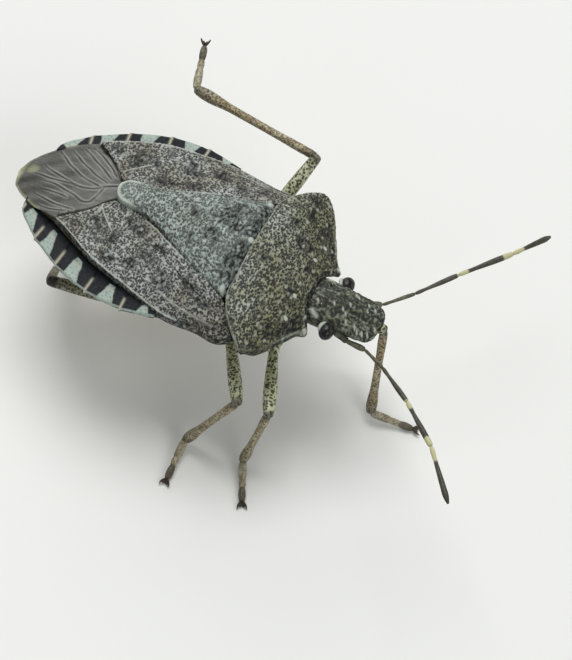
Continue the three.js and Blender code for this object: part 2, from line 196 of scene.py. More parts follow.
plaster = Finish("floor_plaster", Roughness=0.85)
floor_tone = plaster.blend(tone(226, 226, 222), tone(232, 232, 229), plaster.mottle(FLOOR_MOTTLE))
plaster.paint(Base_Color=floor_tone)
floor_corners = np.array([(-1, -1, 0), (1, -1, 0), (1, 1, 0), (-1, 1, 0)]) * FLOOR_HALF
shown("floor", floor_corners, [(0, 1, 2, 3)], plaster.material)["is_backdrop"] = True

room = bpy.data.worlds.new("room")
room.use_nodes = True
backdrop = room.node_tree.nodes["Background"]
backdrop.inputs["Color"].default_value = tone(236, 240, 242)
backdrop.inputs["Strength"].default_value = ROOM_LIGHT
bpy.context.scene.world = room
bpy.context.scene.view_settings.view_transform = "Standard"


def panel(name, place, side, strength):
    """A square of soft light at place, in metres, turned to the model."""
    light = bpy.data.lights.new(name, "AREA")
    light.size = side
    light.energy = strength
    made = bpy.data.objects.new(name, light)
    made.location = place
    made.rotation_mode = "QUATERNION"
    made.rotation_quaternion = (-Vector(place)).to_track_quat("-Z", "Y")
    bpy.context.scene.collection.objects.link(made)


panel("panel_above", (-0.10, 0.16, 0.45), side=0.30, strength=1.75)
panel("panel_front", (0.40, -0.25, 0.35), side=0.35, strength=1.0)
panel("panel_behind", (-0.30, 0.35, 0.22), side=0.25, strength=0.6)


# The camera: it looks down on the animal's right side with the head to the right, a little tilted,
# through a long lens, as the picture was taken.
WING_LEVEL = 5.9  # the datum's height above the floor, in millimetres
SHIELD_FRONT = -0.05  # the front of the shield's solid, measured from the datum
CAMERA_AIM = np.array([2.38, -1.25, -1.33])
CAMERA_TURN = math.radians(17.42)
CAMERA_HEIGHT = math.radians(55.10)
CAMERA_TILT = math.radians(8.70)
CAMERA_DISTANCE = 170 * MM
CAMERA_LENS = 244.7
CAMERA_SENSOR = 36

shield_low, shield_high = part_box("scutellum")
datum = np.array([
    shield_high.x / MM - SHIELD_FRONT,
    (shield_low.y + shield_high.y) / 2 / MM,
    WING_LEVEL,
])
camera_data = bpy.data.cameras.new("camera")
camera_data.lens = CAMERA_LENS
camera_data.sensor_width = CAMERA_SENSOR
camera_data.clip_start = 10 * MM
camera = bpy.data.objects.new("camera", camera_data)
backwards = Vector((
    math.sin(CAMERA_TURN) * math.cos(CAMERA_HEIGHT),
    -math.cos(CAMERA_TURN) * math.cos(CAMERA_HEIGHT),
    math.sin(CAMERA_HEIGHT),
))
camera.location = Vector((datum + CAMERA_AIM) * MM) + backwards * CAMERA_DISTANCE
camera.rotation_mode = "QUATERNION"
camera.rotation_quaternion = (-backwards).to_track_quat("-Z", "Y") @ Quaternion((0, 0, 1), CAMERA_TILT)
bpy.context.scene.collection.objects.link(camera)
bpy.context.scene.camera = camera


# The pronotum: the broad plate behind the head, one shell of hard cuticle that hinges over the wing bases.
# It is closely punctured, olive brown in front with small pale dots, and has a thin pale rim at its sides.
# Places on the animal are in millimetres from the datum, the middle of the shield's base.
SHOULDER_HALF = 4.0
PLATE_CREST = 1.57  # height of the plates' middle line at the datum
PLATE_THICKNESS = 0.28
PLATE_BEVEL = 0.1
SHOULDER_BEVEL = 0.12
BEVEL_STEPS = 5
GRAIN = 0.0185  # spacing of the points of a punctured plate
COLLAR_DEPTH = 0.05
WAIST_DEPTH = 0.07
SCAR_HEIGHT = 0.06
FRONT_RIM_HEIGHT = 0.02
DOT_RADIUS = 0.075
BLOTCH_SOFTNESS = 0.8
DARK_CUTICLE = tone(20, 22, 22)
PALE_CUTICLE = tone(186, 194, 184)
OLIVE_CUTICLE = tone(116, 114, 66)


def through(*points):
    """A smooth curve through points (place, value)."""
    place, value = np.array(sorted(points), float).T
    slope = np.gradient(value, place)

    def curve(at):
        at = np.clip(at, place[0], place[-1])
        first = np.clip(np.searchsorted(place, at) - 1, 0, len(place) - 2)
        span = place[first + 1] - place[first]
        share = (at - place[first]) / span
        rise = value[first + 1] - value[first]
        bend = (1 - share) * slope[first] - share * slope[first + 1]
        return value[first] + share * share * (3 - 2 * share) * rise + span * share * (1 - share) * bend

    return curve


def held(value):
    """The value, held between 0 and 1."""
    return np.clip(value, 0, 1)


def eased(distance, radius):
    """How far a rounded edge has fallen at a distance inside it."""
    inside = radius - np.clip(distance, 0, radius)
    return radius - np.sqrt(radius ** 2 - inside ** 2)


def bump(distance, width):
    """1 at distance 0, with a soft fall to 0 over about twice the width."""
    return np.exp(-(distance / width) ** 2)


def plate(near, far, top, spacing, bevel, thickness):
    """Cross-sections of a plate. Each runs over the top from the near edge to the far one and back below."""
    near = np.stack(near, 1)[:, None]
    far = np.stack(far, 1)[:, None]
    width = np.linalg.norm(far - near, axis=-1)
    edge = np.minimum(bevel, 0.45 * width)
    turn = np.linspace(0, np.pi / 2, BEVEL_STEPS, endpoint=False)
    rim = edge * (1 - np.cos(turn))
    fall = edge * (1 - np.sin(turn))
    middle = edge + (width - 2 * edge) * np.linspace(0, 1, round(width.max() / spacing))
    back = width * np.linspace(0.985, 0.015, BEVEL_STEPS)
    over = np.concatenate([rim, middle, (width - rim)[:, ::-1]], 1)
    drop = np.concatenate([fall, 0 * middle, fall[:, ::-1]], 1)
    across = np.concatenate([over, back], 1) / width
    plan = near + (far - near) * across[..., None]
    height = top(plan[..., 0], plan[..., 1]) - np.concatenate([drop, thickness + 0 * back], 1)
    below = np.concatenate([0 * over, 1 + 0 * back], 1)
    return np.concatenate([plan, height[..., None]], 2), below


def piece(name, bodies, material, **marks):
    """A piece made of closed bodies, each given by its cross-sections, with markings stored on its points."""
    points = []
    faces = []
    start = 0
    for rings in bodies:
        count, around = rings.shape[:2]
        own = rings.reshape(-1, 3)
        index = np.arange(count * around).reshape(count, around)
        turned = np.roll(index, -1, 1)
        quads = np.stack([index[:-1], turned[:-1], turned[1:], index[1:]], -1).reshape(-1, 4)
        a, b, c, d = (own - own.mean(0))[quads].transpose(1, 0, 2)
        volume = np.sum(np.cross(a, b) * c) + np.sum(np.cross(a, c) * d)
        ends = [index[0, ::-1], index[-1]]
        if volume < 0:
            quads = quads[:, ::-1]
            ends = [end[::-1] for end in ends]
        faces += (quads + start).tolist() + [(end + start).tolist() for end in ends]
        points.append(own)
        start += len(own)
    made = shown(name, (np.concatenate(points) + datum) * MM, faces, material)
    for mark, values in marks.items():
        values = np.broadcast_to(values, start) if np.ndim(values) == 0 else np.ravel(values)
        made.data.attributes.new(mark, "FLOAT", "POINT").data.foreach_set("value", values.astype(np.float32))
    return made


def growth_tree(name, inputs):
    """A new tree of geometry nodes: its recipe, and what each of its inputs gives."""
    tree = bpy.data.node_groups.new(name, "GeometryNodeTree")
    for socket, kind in inputs.items():
        tree.interface.new_socket(name=socket, in_out="INPUT", socket_type=f"NodeSocket{kind}")
    tree.interface.new_socket(name="Grown", in_out="OUTPUT", socket_type="NodeSocketGeometry")
    recipe = Recipe(tree)
    source = tree.nodes.new("NodeGroupInput")
    return recipe, {socket: Term(recipe, source.outputs[socket]) for socket in inputs}


def coated(recipe, geometry, finish):
    """Ends a tree: what has grown comes out as plain geometry in its finish."""
    real = recipe.node("GeometryNodeRealizeInstances", {}, {"Geometry": geometry})
    dressed = recipe.node("GeometryNodeSetMaterial", {}, {"Geometry": real, "Material": finish})
    end = recipe.tree.nodes.new("NodeGroupOutput")
    recipe.feed(end.inputs["Grown"], dressed)
    return recipe.tree


def puncturing():
    """Sinks round punctures into a surface. They lie close and run together, and bare spots have none."""
    inputs = {"Surface": "Geometry", "Spacing": "Float", "Fill": "Float", "Depth": "Float"}
    recipe, given = growth_tree("puncturing", {**inputs, "Stretch": "Vector", "Finish": "Material"})
    here = recipe.node("GeometryNodeInputPosition", {}, {})
    stretched = recipe.node("ShaderNodeVectorMath", {"operation": "MULTIPLY"}, {0: here, 1: given["Stretch"]})
    per_pit = recipe.node("ShaderNodeMath", {"operation": "DIVIDE"}, {0: 1 / MM, 1: given["Spacing"]})
    spaced = recipe.node("ShaderNodeVectorMath", {"operation": "SCALE"}, {0: stretched, "Scale": per_pit})
    drift = recipe.node("ShaderNodeTexNoise", {}, {"Vector": spaced, "Scale": 0.7, "Detail": 1.0}, 1)
    placed = recipe.node("ShaderNodeVectorMath", {"operation": "ADD"}, {0: spaced, 1: drift})
    nearest = recipe.node("ShaderNodeTexVoronoi", {}, {"Vector": placed, "Scale": 1.0, "Randomness": 0.95})
    bare = recipe.node("GeometryNodeInputNamedAttribute", {"data_type": "FLOAT"}, {"Name": "bare"})
    pit = (1 - nearest.rising(given["Fill"] * 0.7, given["Fill"] * 1.2)) * (1 - bare)
    stored = recipe.node(
        "GeometryNodeStoreNamedAttribute", {"data_type": "FLOAT", "domain": "POINT"},
        {"Geometry": given["Surface"], "Name": "pit", "Value": pit},
    )
    outward = recipe.node("GeometryNodeInputNormal", {}, {})
    depth = pit * given["Depth"] * -MM
    sunk = recipe.node("ShaderNodeVectorMath", {"operation": "SCALE"}, {0: outward, "Scale": depth})
    moved = recipe.node("GeometryNodeSetPosition", {}, {"Geometry": stored, "Offset": sunk})
    return coated(recipe, moved, given["Finish"])


PUNCTURING = puncturing()


def grown(made, tree, **inputs):
    """Runs a tree of geometry nodes on a piece and keeps the plain mesh that comes out."""
    growth = made.modifiers.new("growth", "NODES")
    growth.node_group = tree
    for item in tree.interface.items_tree:
        if item.in_out == "INPUT" and item.name in inputs:
            growth[item.identifier] = inputs[item.name]
    bpy.context.view_layer.update()
    depsgraph = bpy.context.evaluated_depsgraph_get()
    plain = bpy.data.meshes.new_from_object(made.evaluated_get(depsgraph), depsgraph=depsgraph)
    made.modifiers.remove(growth)
    made.data = plain
    plain.name = made.name
    plain.shade_smooth()
    return made


def fixed(made, slot, *nodes):
    """The piece takes the place of these solids and belongs to the one still body."""
    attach(made, "root")
    if nodes:
        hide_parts(*nodes)


def punctured(name, rings, material, below, pale, spacing, fill, depth, stretch=(1, 1, 1), **marks):
    """A piece of punctured cuticle. It has no punctures below and in its pale marks."""
    made = piece(name, [rings], material, bare=held(below + pale), pale=pale, **marks)
    return grown(made, PUNCTURING, Spacing=spacing, Fill=fill, Depth=depth, Stretch=stretch, Finish=material)


def spots(x, y, places, softness=0.25):
    """Soft-edged spots, 1 inside and 0 outside, at places (x, y, radius along, radius across)."""
    cover = np.zeros_like(x)
    for middle_x, middle_y, along, across in places:
        reach = np.hypot((x - middle_x) / along, (y - middle_y) / across)
        cover = np.maximum(cover, held((1 + softness - reach) / (2 * softness)))
    return cover


pronotum_rear = through((0, 0.2), (1.6, 0.21), (2.35, 0.2), (2.9, 0.42), (3.5, 0.87), (SHOULDER_HALF, 1.45))
pronotum_front = through(
    (0, 2.92), (0.8, 2.95), (1.25, 3.17), (1.58, 3.32), (1.85, 3.07), (2.3, 2.82), (2.8, 2.55),
    (3.35, 2.26), (3.8, 1.93), (SHOULDER_HALF, 1.65),
)
pronotum_fall = through((0, 0.11), (1.65, 0.07), (2.45, 0.125), (3.3, 0.2))


def pronotum_top(x, y):
    """An arch with a collar groove behind the head, a waist, two raised scars and a rim in front."""
    side = np.abs(y)
    inset = pronotum_front(side) - x
    arch = PLATE_CREST - 0.1 * x - 0.12 * x * x - pronotum_fall(x) * side ** 1.6
    collar = COLLAR_DEPTH * bump(inset - 0.22, 0.06) * (side < 1.5)
    waist = WAIST_DEPTH * bump(x - 1.7, 0.3) * held(3.2 - side)
    scars = SCAR_HEIGHT * bump(np.hypot((x - 2.35) / 0.3, (side - 0.85) / 0.55), 1)
    rim = FRONT_RIM_HEIGHT * bump(inset - 0.07, 0.04) * (side > 1.8)
    return arch - collar - waist + scars + rim - eased(SHOULDER_HALF - side, SHOULDER_BEVEL)


def shell_finish(name, ground, second, pit_strength=0.92):
    """Punctured cuticle: pale ground in two tones, black punctures, dark blotches and painted shade, pale
    marks.
    """
    finish = Finish(name, Specular_IOR_Level=0.3)
    pit = finish.mark("pit")
    # This mark holds the dark blotches and also painted shade: undersides, gaps and shadows cast by
    # neighbouring parts.
    blotch = finish.mark("blotch")
    pale = finish.mark("pale")
    coarse = finish.mottle(0.5) * 0.6 + finish.mottle(0.9) * 0.4
    fine = finish.mottle(0.12, 2, (1, 0.6, 1))
    deeper = (blotch + (coarse - 0.48) * 2.7).rising(0.15, 0.85)
    flecks = 1 - finish.specks(0.33, (1, 0.8, 1)).rising(0.1, 0.3)
    cloud = finish.mottle(1.5).rising(0.35, 0.65)
    covered = (pit * pit_strength).most(deeper * (0.5 + 0.5 * fine.rising(0.35, 0.6))) * (1 - pale)
    colour = finish.layered(
        ground,
        (second, cloud),
        (OLIVE_CUTICLE, finish.mark("olive") * 0.6),
        (DARK_CUTICLE, ((fine - 0.5) * 1.3 + 0.14).rising(0, 0.5) * 0.5),
        (DARK_CUTICLE, covered),
        (ground, flecks * 0.6),
        (PALE_CUTICLE, pale * 0.85),
    )
    finish.paint(Base_Color=colour, Roughness=0.5 + 0.2 * fine)
    finish.relief(fine, 0.012)
    return finish.material


edge_rows = SHOULDER_HALF - np.array([0, 0.01, 0.03])
inner_half = SHOULDER_HALF - 0.055
inner_rows = np.linspace(-inner_half, inner_half, round(2 * SHOULDER_HALF / GRAIN))
shoulder_y = np.concatenate([-edge_rows, inner_rows, edge_rows[::-1]])
rings, below = plate(
    (pronotum_rear(np.abs(shoulder_y)), shoulder_y), (pronotum_front(np.abs(shoulder_y)), shoulder_y),
    pronotum_top, GRAIN, PLATE_BEVEL, PLATE_THICKNESS,
)
x, y = rings[..., 0], rings[..., 1]
side = np.abs(y)
inset = pronotum_front(side) - x
PALE_DOTS = [(2.43, 0.94), (2.48, 1.82), (3.16, 0.82)]
PRONOTUM_BLOTCHES = [
    (1.51, -2.51, 0.2, 0.25), (1.47, -2.01, 0.15, 0.2), (1.92, -3.59, 0.25, 0.25), (2.19, -0.98, 0.2, 0.2),
    (2.88, -1.7, 0.2, 0.25), (2.34, 0.45, 0.15, 0.25), (1.05, 0.78, 0.2, 0.2), (1.14, 1.85, 0.25, 0.2),
    (1.5, 2.6, 0.2, 0.3), (2.2, 2.2, 0.2, 0.3), (1.75, 1.1, 0.3, 0.4), (0.9, 2.6, 0.25, 0.25),
    (2.6, -2.3, 0.3, 0.25), (1.3, 3.3, 0.35, 0.2), (2.05, -2.6, 0.25, 0.2), (0.75, -0.4, 0.2, 0.25),
    (0.8, -3.3, 0.25, 0.2),
]
dots = spots(x, side, [(*dot, DOT_RADIUS, DOT_RADIUS) for dot in PALE_DOTS])
tooth_mark = 0.8 * spots(x, side, [(3.22, 1.6, 0.07, 0.09)])
front_line = 0.7 * bump(inset - 0.055, 0.014) * (side > 1.7) * np.clip((3.2 - side) / 0.8, 0.25, 1)
rear_line = 0.25 * bump(x - pronotum_rear(side) - 0.02, 0.025)
blotch = 0.85 * spots(x, y, PRONOTUM_BLOTCHES, BLOTCH_SOFTNESS)
# Its collar term is a painted shadow of the head. The dark underside (below) is painted shade as well.
# front_shade darkens the plate towards its front, along a band behind the front rim at the sides and at its
# front edge.
front_shade = 0.33 * held(x - 1.5) + 0.8 * bump(inset - 0.06, 0.06) * (side < 1.45)
front_shade = front_shade + 0.5 * bump(inset - 0.3, 0.12) * (side > 1.6) * (side < 3) + (inset < 0.01)
pronotum = punctured(
    "pronotum_shell", rings, shell_finish("cuticle_pronotum", tone(176, 180, 168), tone(148, 150, 126)),
    below, np.max([dots, tooth_mark, front_line, rear_line], 0) * (1 - below),
    spacing=0.08, fill=0.6, depth=0.024, stretch=(1, 0.75, 1),
    blotch=held(blotch + front_shade + below), olive=held((x - 0.9) / 1.1),
)
fixed(pronotum, "pronotum", "pronotum")


# The shield (scutellum): a long triangle of punctured cuticle that lies over the inner edges of the wings.
# Its rounded tongue has a pale rim, and three white calluses stand along its base.
SHIELD_TIP = shield_low.x / MM - datum[0]
SHIELD_TONGUE = 0.56  # radius of its rounded end
TONGUE_START = SHIELD_TIP + SHIELD_TONGUE
SHIELD_RUN_UNDER = 0.35  # how far the shield reaches in under the pronotum
SHIELD_THICKNESS = 1.5 * PLATE_THICKNESS
SHIELD_BEVEL = 0.05
SHIELD_ROWS = 310
CALLUSES = [(-0.04, 2.2), (0.1, 0.0), (-0.04, -2.2)]
CALLUS_HEIGHT = 0.04
SHIELD_BLOTCHES = [
    (-1.15, 0.6, 0.34, 0.42), (-1.34, -0.42, 0.26, 0.3), (-0.05, 0.55, 0.24, 0.36), (0.05, 1.72, 0.2, 0.3),
    (0.0, -0.63, 0.26, 0.4), (-0.1, -1.3, 0.24, 0.36), (-0.65, 0.15, 0.2, 0.25), (-0.9, 1.25, 0.25, 0.25),
    (-2.3, 0.2, 0.2, 0.25), (-2.1, -0.9, 0.22, 0.2), (-3.1, 0.1, 0.25, 0.15),
]
TAIL = -9.57
WING_FALL = 0.059  # per square millimetre across
shield_edge = through(
    (-4.9, 0.56), (-4.2, 0.64), (-3.5, 0.86), (-2.7, 1.24), (-1.6, 1.74), (-0.6, 2.14), (0, 2.4), (0.4, 2.45),
)
shield_crest = through((SHIELD_TIP, 1.42), (-4.5, 1.53), (-2.7, PLATE_CREST), (0, PLATE_CREST))
# how far the shield's sides stand above the wings
shield_step = through((SHIELD_TIP, 0.28), (-4.5, 0.25), (-3, 0.16), (-1.5, 0.05), (0, 0.05))
wing_crest = through((TAIL, -0.25), (-8.5, 0.28), (-7, 0.86), (-5.5, 1.05), (-3, 1.2), (0, 1.25), (3, 1.2))
wing_bend = through((TAIL, -9), (-7, -8), (-5.9, -3.7), (-4.4, -1.2), (-2.7, 0.5), (-0.9, 2.1), (1, 3))


def shield_half(x):
    reach = held((TONGUE_START - x) / SHIELD_TONGUE)
    tongue = np.maximum(0.06, SHIELD_TONGUE * np.sqrt(1 - reach ** 2))
    return np.where(x > TONGUE_START, shield_edge(x), tongue)


def wing_surface(x, y):
    """The wings' outer edges bend down in front and lie flatter behind."""
    return wing_crest(x) - WING_FALL * y ** 2 - wing_bend(x) * 0.001 * y ** 4


def shield_top(x, y):
    """An arch that stands on the wings, dips under the pronotum and is a little hollow in its middle."""
    edge = shield_half(x)
    drop = shield_crest(x) - wing_surface(x, edge) - shield_step(x)
    arch = shield_crest(x) - drop * (y / np.maximum(edge, 0.3)) ** 2
    under = 0.2 * held((x + 0.1) / 0.35)
    raised = CALLUS_HEIGHT * spots(x, y, [(*callus, 0.1, 0.12) for callus in CALLUSES], 0.4)
    hollow = 0.05 * bump(x + 2.4, 0.7) * held(1 - np.abs(y))
    return arch - under + raised - hollow - eased(x - SHIELD_TIP, 0.08)


shield_rows = np.sin(np.linspace(0, np.pi / 2, SHIELD_ROWS))
shield_x = SHIELD_RUN_UNDER + (SHIELD_TIP - SHIELD_RUN_UNDER) * shield_rows
half = shield_half(shield_x)
rings, below = plate((shield_x, -half), (shield_x, half), shield_top, GRAIN, SHIELD_BEVEL, SHIELD_THICKNESS)
x, y = rings[..., 0], rings[..., 1]
side_distance = 0.25 * np.maximum(x - TONGUE_START, 0) + shield_half(x) - np.abs(y)
tip_distance = SHIELD_TONGUE - np.hypot(np.minimum(x - TONGUE_START, 0), y)
rim_distance = np.where(x < TONGUE_START, tip_distance, side_distance)
on_tongue = held((-3.7 - x) / 0.8)
pale = np.max([
    held(1.3 - rim_distance / 0.12) * on_tongue,
    spots(x, y, [(*callus, 0.11, 0.13) for callus in CALLUSES]),
    0.06 * held((-4.1 - x) / 0.6) * (1 - below),
], 0)
# Besides the blotches this darkens the underside as painted shade, and a line along the shield's sides.
# It also darkens a strip at the shield's front, a painted shadow of the pronotum's rear edge.
blotch = np.max([
    0.9 * spots(x, y, SHIELD_BLOTCHES, BLOTCH_SOFTNESS),
    below,
    bump(rim_distance, 0.05) * held((x + 3.9) / 0.5),
    held((x - 0.06 - 0.04 * np.cos(3 * y)) / 0.06),
], 0)
shade = 0.42 * held((x + 1.9) / 1.3) + 0.35 * bump(rim_distance - 0.2, 0.07) * on_tongue
shield_finish = shell_finish("cuticle_shield", tone(167, 178, 171), tone(148, 157, 148), pit_strength=0.82)
scutellum = punctured(
    "shield", rings, shield_finish, below, pale,
    spacing=0.076, fill=0.58, depth=0.022, stretch=(1, 0.7, 1), blotch=blotch + shade,
)
fixed(scutellum, "scutellum", "scutellum")


# The coria: the leathery front halves of the forewings, punctured like the back but warmer in tone.
# Each has a groove beside the shield, a raised vein near its tip and a thin pale rim along its outer edge.
SIDES = {"left": 1, "right": -1}
WING_FRONT = 1.0
WING_TIP = -7.08
SEAM_START = -4.95
CORIUM_THICKNESS = 0.36
CORIUM_BEVEL = 0.05
GROOVE_DEPTH = 0.035
TIP_VEIN_HEIGHT = 0.03
OUTER_VEIN_HEIGHT = 0.025
INNER_RIM_HEIGHT = 0.02
wing_edge = through(
    (WING_TIP, 2.05), (-5.9, 2.67), (-5.2, 3.02), (-4.4, 3.28), (-3.6, 3.46), (-2.7, 3.66), (-1.8, 3.79),
    (-0.4, 3.7), (0.6, 3.68), (WING_FRONT, 3.5),
)
seam = through((WING_TIP, 1.97), (-6.6, 1.62), (-6.05, 1.17), (-5.65, 0.7), (-5.26, 0.4), (SEAM_START, 0.3))
beside_pronotum = through((-0.05, 2.35), (0.4, 2.75), (0.72, 3.2), (WING_FRONT, 3.5))
groove = through((-4.6, 0.66), (-3.72, 1.25), (-2.87, 1.72), (-1.55, 2.4), (0.2, 2.95))
outer_vein = through((-4.4, 2.35), (-3.2, 2.85), (-1.6, 3.3), (0.2, 3.45))
TIP_VEIN = [(-5.85, 0.78), (-5.67, 0.95), (-5.23, 1.41), (-4.87, 1.74), (-4.6, 2.05)]
CORIUM_BLOTCHES = [
    (-5.5, 1.45, 0.38, 0.28), (-5.2, 1.94, 0.35, 0.32), (-4.34, 1.1, 0.3, 0.24), (-3.96, 1.25, 0.3, 0.24),
    (-3.18, 2.21, 0.45, 0.26), (-2.93, 1.65, 0.35, 0.26), (-2.29, 2.76, 0.36, 0.3), (-0.1, 3.5, 0.35, 0.16),
    (-0.7, 3.75, 0.4, 0.14), (-4.55, 2.78, 0.3, 0.25), (-3.66, 2.66, 0.26, 0.26), (-1.3, 2.4, 0.26, 0.26),
    (-0.5, 2.9, 0.3, 0.2), (-6.3, 1.95, 0.25, 0.2), (-4.7, 1.95, 0.2, 0.25),
]


def wing_inner(x):
    tucked = np.maximum(shield_edge(x) - 0.2, np.where(x > -0.05, beside_pronotum(x), 0))
    return np.where(x < SEAM_START, seam(x), tucked)


def off_path(x, y, path, samples=40):
    """Distance from each point to a smooth path through a few places."""
    places = np.array(path, float)
    run = np.concatenate([[0], np.cumsum(np.linalg.norm(np.diff(places, axis=0), axis=1))])
    along = np.linspace(0, run[-1], samples)
    line = np.stack([through(*zip(run, places[:, k]))(along) for k in (0, 1)], 1)
    flat = np.stack([np.ravel(x), np.ravel(y)], 1)
    nearest = np.full(len(flat), np.inf)
    for start, end in zip(line[:-1], line[1:]):
        step = end - start
        share = held((flat - start) @ step / (step @ step))
        nearest = np.minimum(nearest, np.linalg.norm(flat - start - share[:, None] * step, axis=1))
    return nearest.reshape(np.shape(x))


def corium_top(x, y):
    side = np.abs(y)
    cut = GROOVE_DEPTH * bump(side - groove(x), 0.04) * (x < 0.3)
    ridge = TIP_VEIN_HEIGHT * bump(off_path(x, side, TIP_VEIN), 0.05)
    vein = OUTER_VEIN_HEIGHT * bump(side - outer_vein(x), 0.06) * (x > -4.2)
    inner_rim = INNER_RIM_HEIGHT * bump(side - shield_edge(x) - 0.1, 0.05) * (x > -4.3)
    return wing_surface(x, y) - cut + ridge + vein + inner_rim - eased(x - WING_TIP, CORIUM_BEVEL)


corium_x = np.linspace(WING_FRONT, WING_TIP, round((WING_FRONT - WING_TIP) / GRAIN))
corium_finish = shell_finish("cuticle_wing", tone(176, 179, 174), tone(148, 146, 132))
for side_name, sign in SIDES.items():
    inner = wing_inner(corium_x)
    outer = np.maximum(wing_edge(corium_x), inner + 0.05)
    rings, below = plate(
        (corium_x, sign * inner), (corium_x, sign * outer),
        corium_top, GRAIN, CORIUM_BEVEL, CORIUM_THICKNESS,
    )
    x, y = rings[..., 0], rings[..., 1]
    side = np.abs(y)
    from_edge = wing_edge(x) - side
    from_shield = side - shield_edge(x)
    pale = np.max([
        0.55 * bump(from_edge - 0.06, 0.025) * (x < -1.2),
        0.6 * bump(off_path(x, side, TIP_VEIN[1:4]), 0.03),
        0.5 * bump(from_shield - 0.1, 0.03) * (x < -1.9) * (x > -3.9),
        0.3 * bump(side - outer_vein(x), 0.04) * (x > -2.2) * (x < 0.2),
    ], 0) * (1 - below)
    # The dark band at the outer edge and the dark underside are painted shade: the shadowed gap between wing
    # and connexivum.
    blotch = np.max([
        0.95 * spots(x, side, CORIUM_BLOTCHES, BLOTCH_SOFTNESS),
        0.7 * bump(side - groove(x), 0.03) * (x < 0.3) * (x > -4.4),
        held(1.3 - from_edge / 0.03),
        bump(from_shield - 0.02, 0.035) * (x > -4.4),
        below,
    ], 0)
    corium = punctured(
        f"corium_shell_{side_name}", rings, corium_finish, below, pale,
        spacing=0.079, fill=0.58, depth=0.021, stretch=(0.95, 0.9, 1), blotch=blotch,
    )
    fixed(corium, "corium", f"corium_{side_name}")


# The membranes: the thin smoky ends of the forewings, folded flat with the right one on top.
# They grow out of the coria and are stiffened by dark veins that run out towards the hind edge.
MEMBRANE_FRONT = -4.75
MEMBRANE_GRAIN = 0.028
MEMBRANE_THICKNESS = 0.07
MEMBRANE_BEVEL = 0.03
MEMBRANE_ROWS = 190
MEMBRANE_VEIN_HEIGHT = 0.028
FOLD_HEIGHT = 0.02
membrane_edge = through(
    (TAIL, 0.12), (-9.45, 0.55), (-9.2, 0.9), (-8.8, 1.24), (-8.3, 1.58), (-7.8, 1.8), (-7.1, 2),
)
# how far each membrane reaches over the middle line, or stops short of it
OVERLAPS = {
    "right": through(
        (TAIL, 0.1), (-9.2, 0.7), (-8.6, 1.22), (-8, 1.45), (-7.2, 1.6), (-6.6, 1.5), (-6.1, 1.15),
        (-5.05, 0.5),
    ),
    "left": through((TAIL, -0.02), (-9.2, -0.1), (-5.5, -0.3)),
}
MEMBRANE_DEPTHS = {"right": 0.05, "left": 0.14}  # below the wings' surface
VEINS = [
    [
        (-5.5, 0.24), (-5.99, 0), (-6.29, -0.23), (-6.66, -0.34),
        (-7.03, -0.34), (-7.65, -0.10), (-8.39, 0.22), (-8.75, 0.5),
    ],
    [
        (-5.99, 0), (-6.10, -0.6), (-6.25, -0.88), (-6.48, -0.95),
        (-6.84, -0.83), (-7.19, -0.7), (-7.6, -0.55), (-8.6, -0.3),
    ],
    [(-6.13, -0.08), (-6.7, 0.02), (-7.39, 0.36), (-8.23, 1.06), (-8.51, 1.34)],
    [(-5.97, 0.17), (-6.6, 0.41), (-7.29, 0.82), (-8.07, 1.45)],
    [(-5.9, 0.42), (-6.42, 0.77), (-7.02, 1.16), (-7.69, 1.68)],
    [(-5.75, 0.6), (-6.28, 1.06), (-6.9, 1.48), (-7.33, 1.8)],
    [(-5.62, 0.78), (-6.03, 1.18), (-6.51, 1.54), (-6.8, 1.8)],
    [(-7.0, -0.34), (-7.6, -0.3), (-8.2, -0.2), (-9.1, 0.0)],
    [(-6.66, -1.44), (-7.27, -1.39), (-7.94, -1.22), (-8.5, -0.98)],
    [(-6.9, -1.6), (-7.5, -1.66), (-8.1, -1.5)],
    [(-7.14, -0.98), (-7.61, -0.86), (-7.98, -0.79), (-8.4, -0.76)],
]


def membrane_finish():
    finish = Finish("membrane_smoke", Specular_IOR_Level=0.45)
    vein = finish.mark("vein")
    flank = finish.mark("flank")
    clear = finish.mark("clear")
    smoke = finish.mottle(0.9).rising(0.35, 0.7)
    grain = finish.mottle(0.09, 2)
    streak = finish.mottle(0.16, 3, (0.25, 1.4, 1))
    colour = finish.layered(
        tone(79, 79, 72),
        (tone(54, 54, 48), smoke),
        (tone(54, 54, 49), streak.rising(0.4, 0.75) * 0.8),
        (tone(152, 153, 146), flank * (0.3 + 0.6 * streak)),
        (tone(30, 31, 30), vein * 0.9),
        (tone(170, 168, 132), clear),
    )
    finish.paint(Base_Color=colour, Roughness=0.32 + 0.15 * grain, Alpha=1 - 0.4 * clear)
    finish.relief(grain + streak, 0.012)
    return finish.material


def along_veins(x, y, beside, width):
    """Strength of a line on the veins or beside them. It fades out at a vein's root and towards its end."""
    strength = np.zeros_like(x)
    for path in VEINS:
        line = bump(off_path(x, y, path) - beside, width)
        root = held(np.hypot(x - path[0][0], y - path[0][1]) / 0.1)
        end = held(np.hypot(x - path[-1][0], y - path[-1][1]) / 0.6)
        strength = np.maximum(strength, line * root * end)
    return strength


def membrane_top(x, y, depth):
    past_seam = np.where(x < WING_TIP, -np.inf, np.abs(y) - seam(x))
    under_wing = 0.1 * held((past_seam + 0.12) / 0.1)
    raised = MEMBRANE_VEIN_HEIGHT * along_veins(x, y, 0, 0.04)
    folds = FOLD_HEIGHT * np.sin(9 * (y - 0.35 * x))
    return wing_surface(x, y) - depth - under_wing + raised + folds


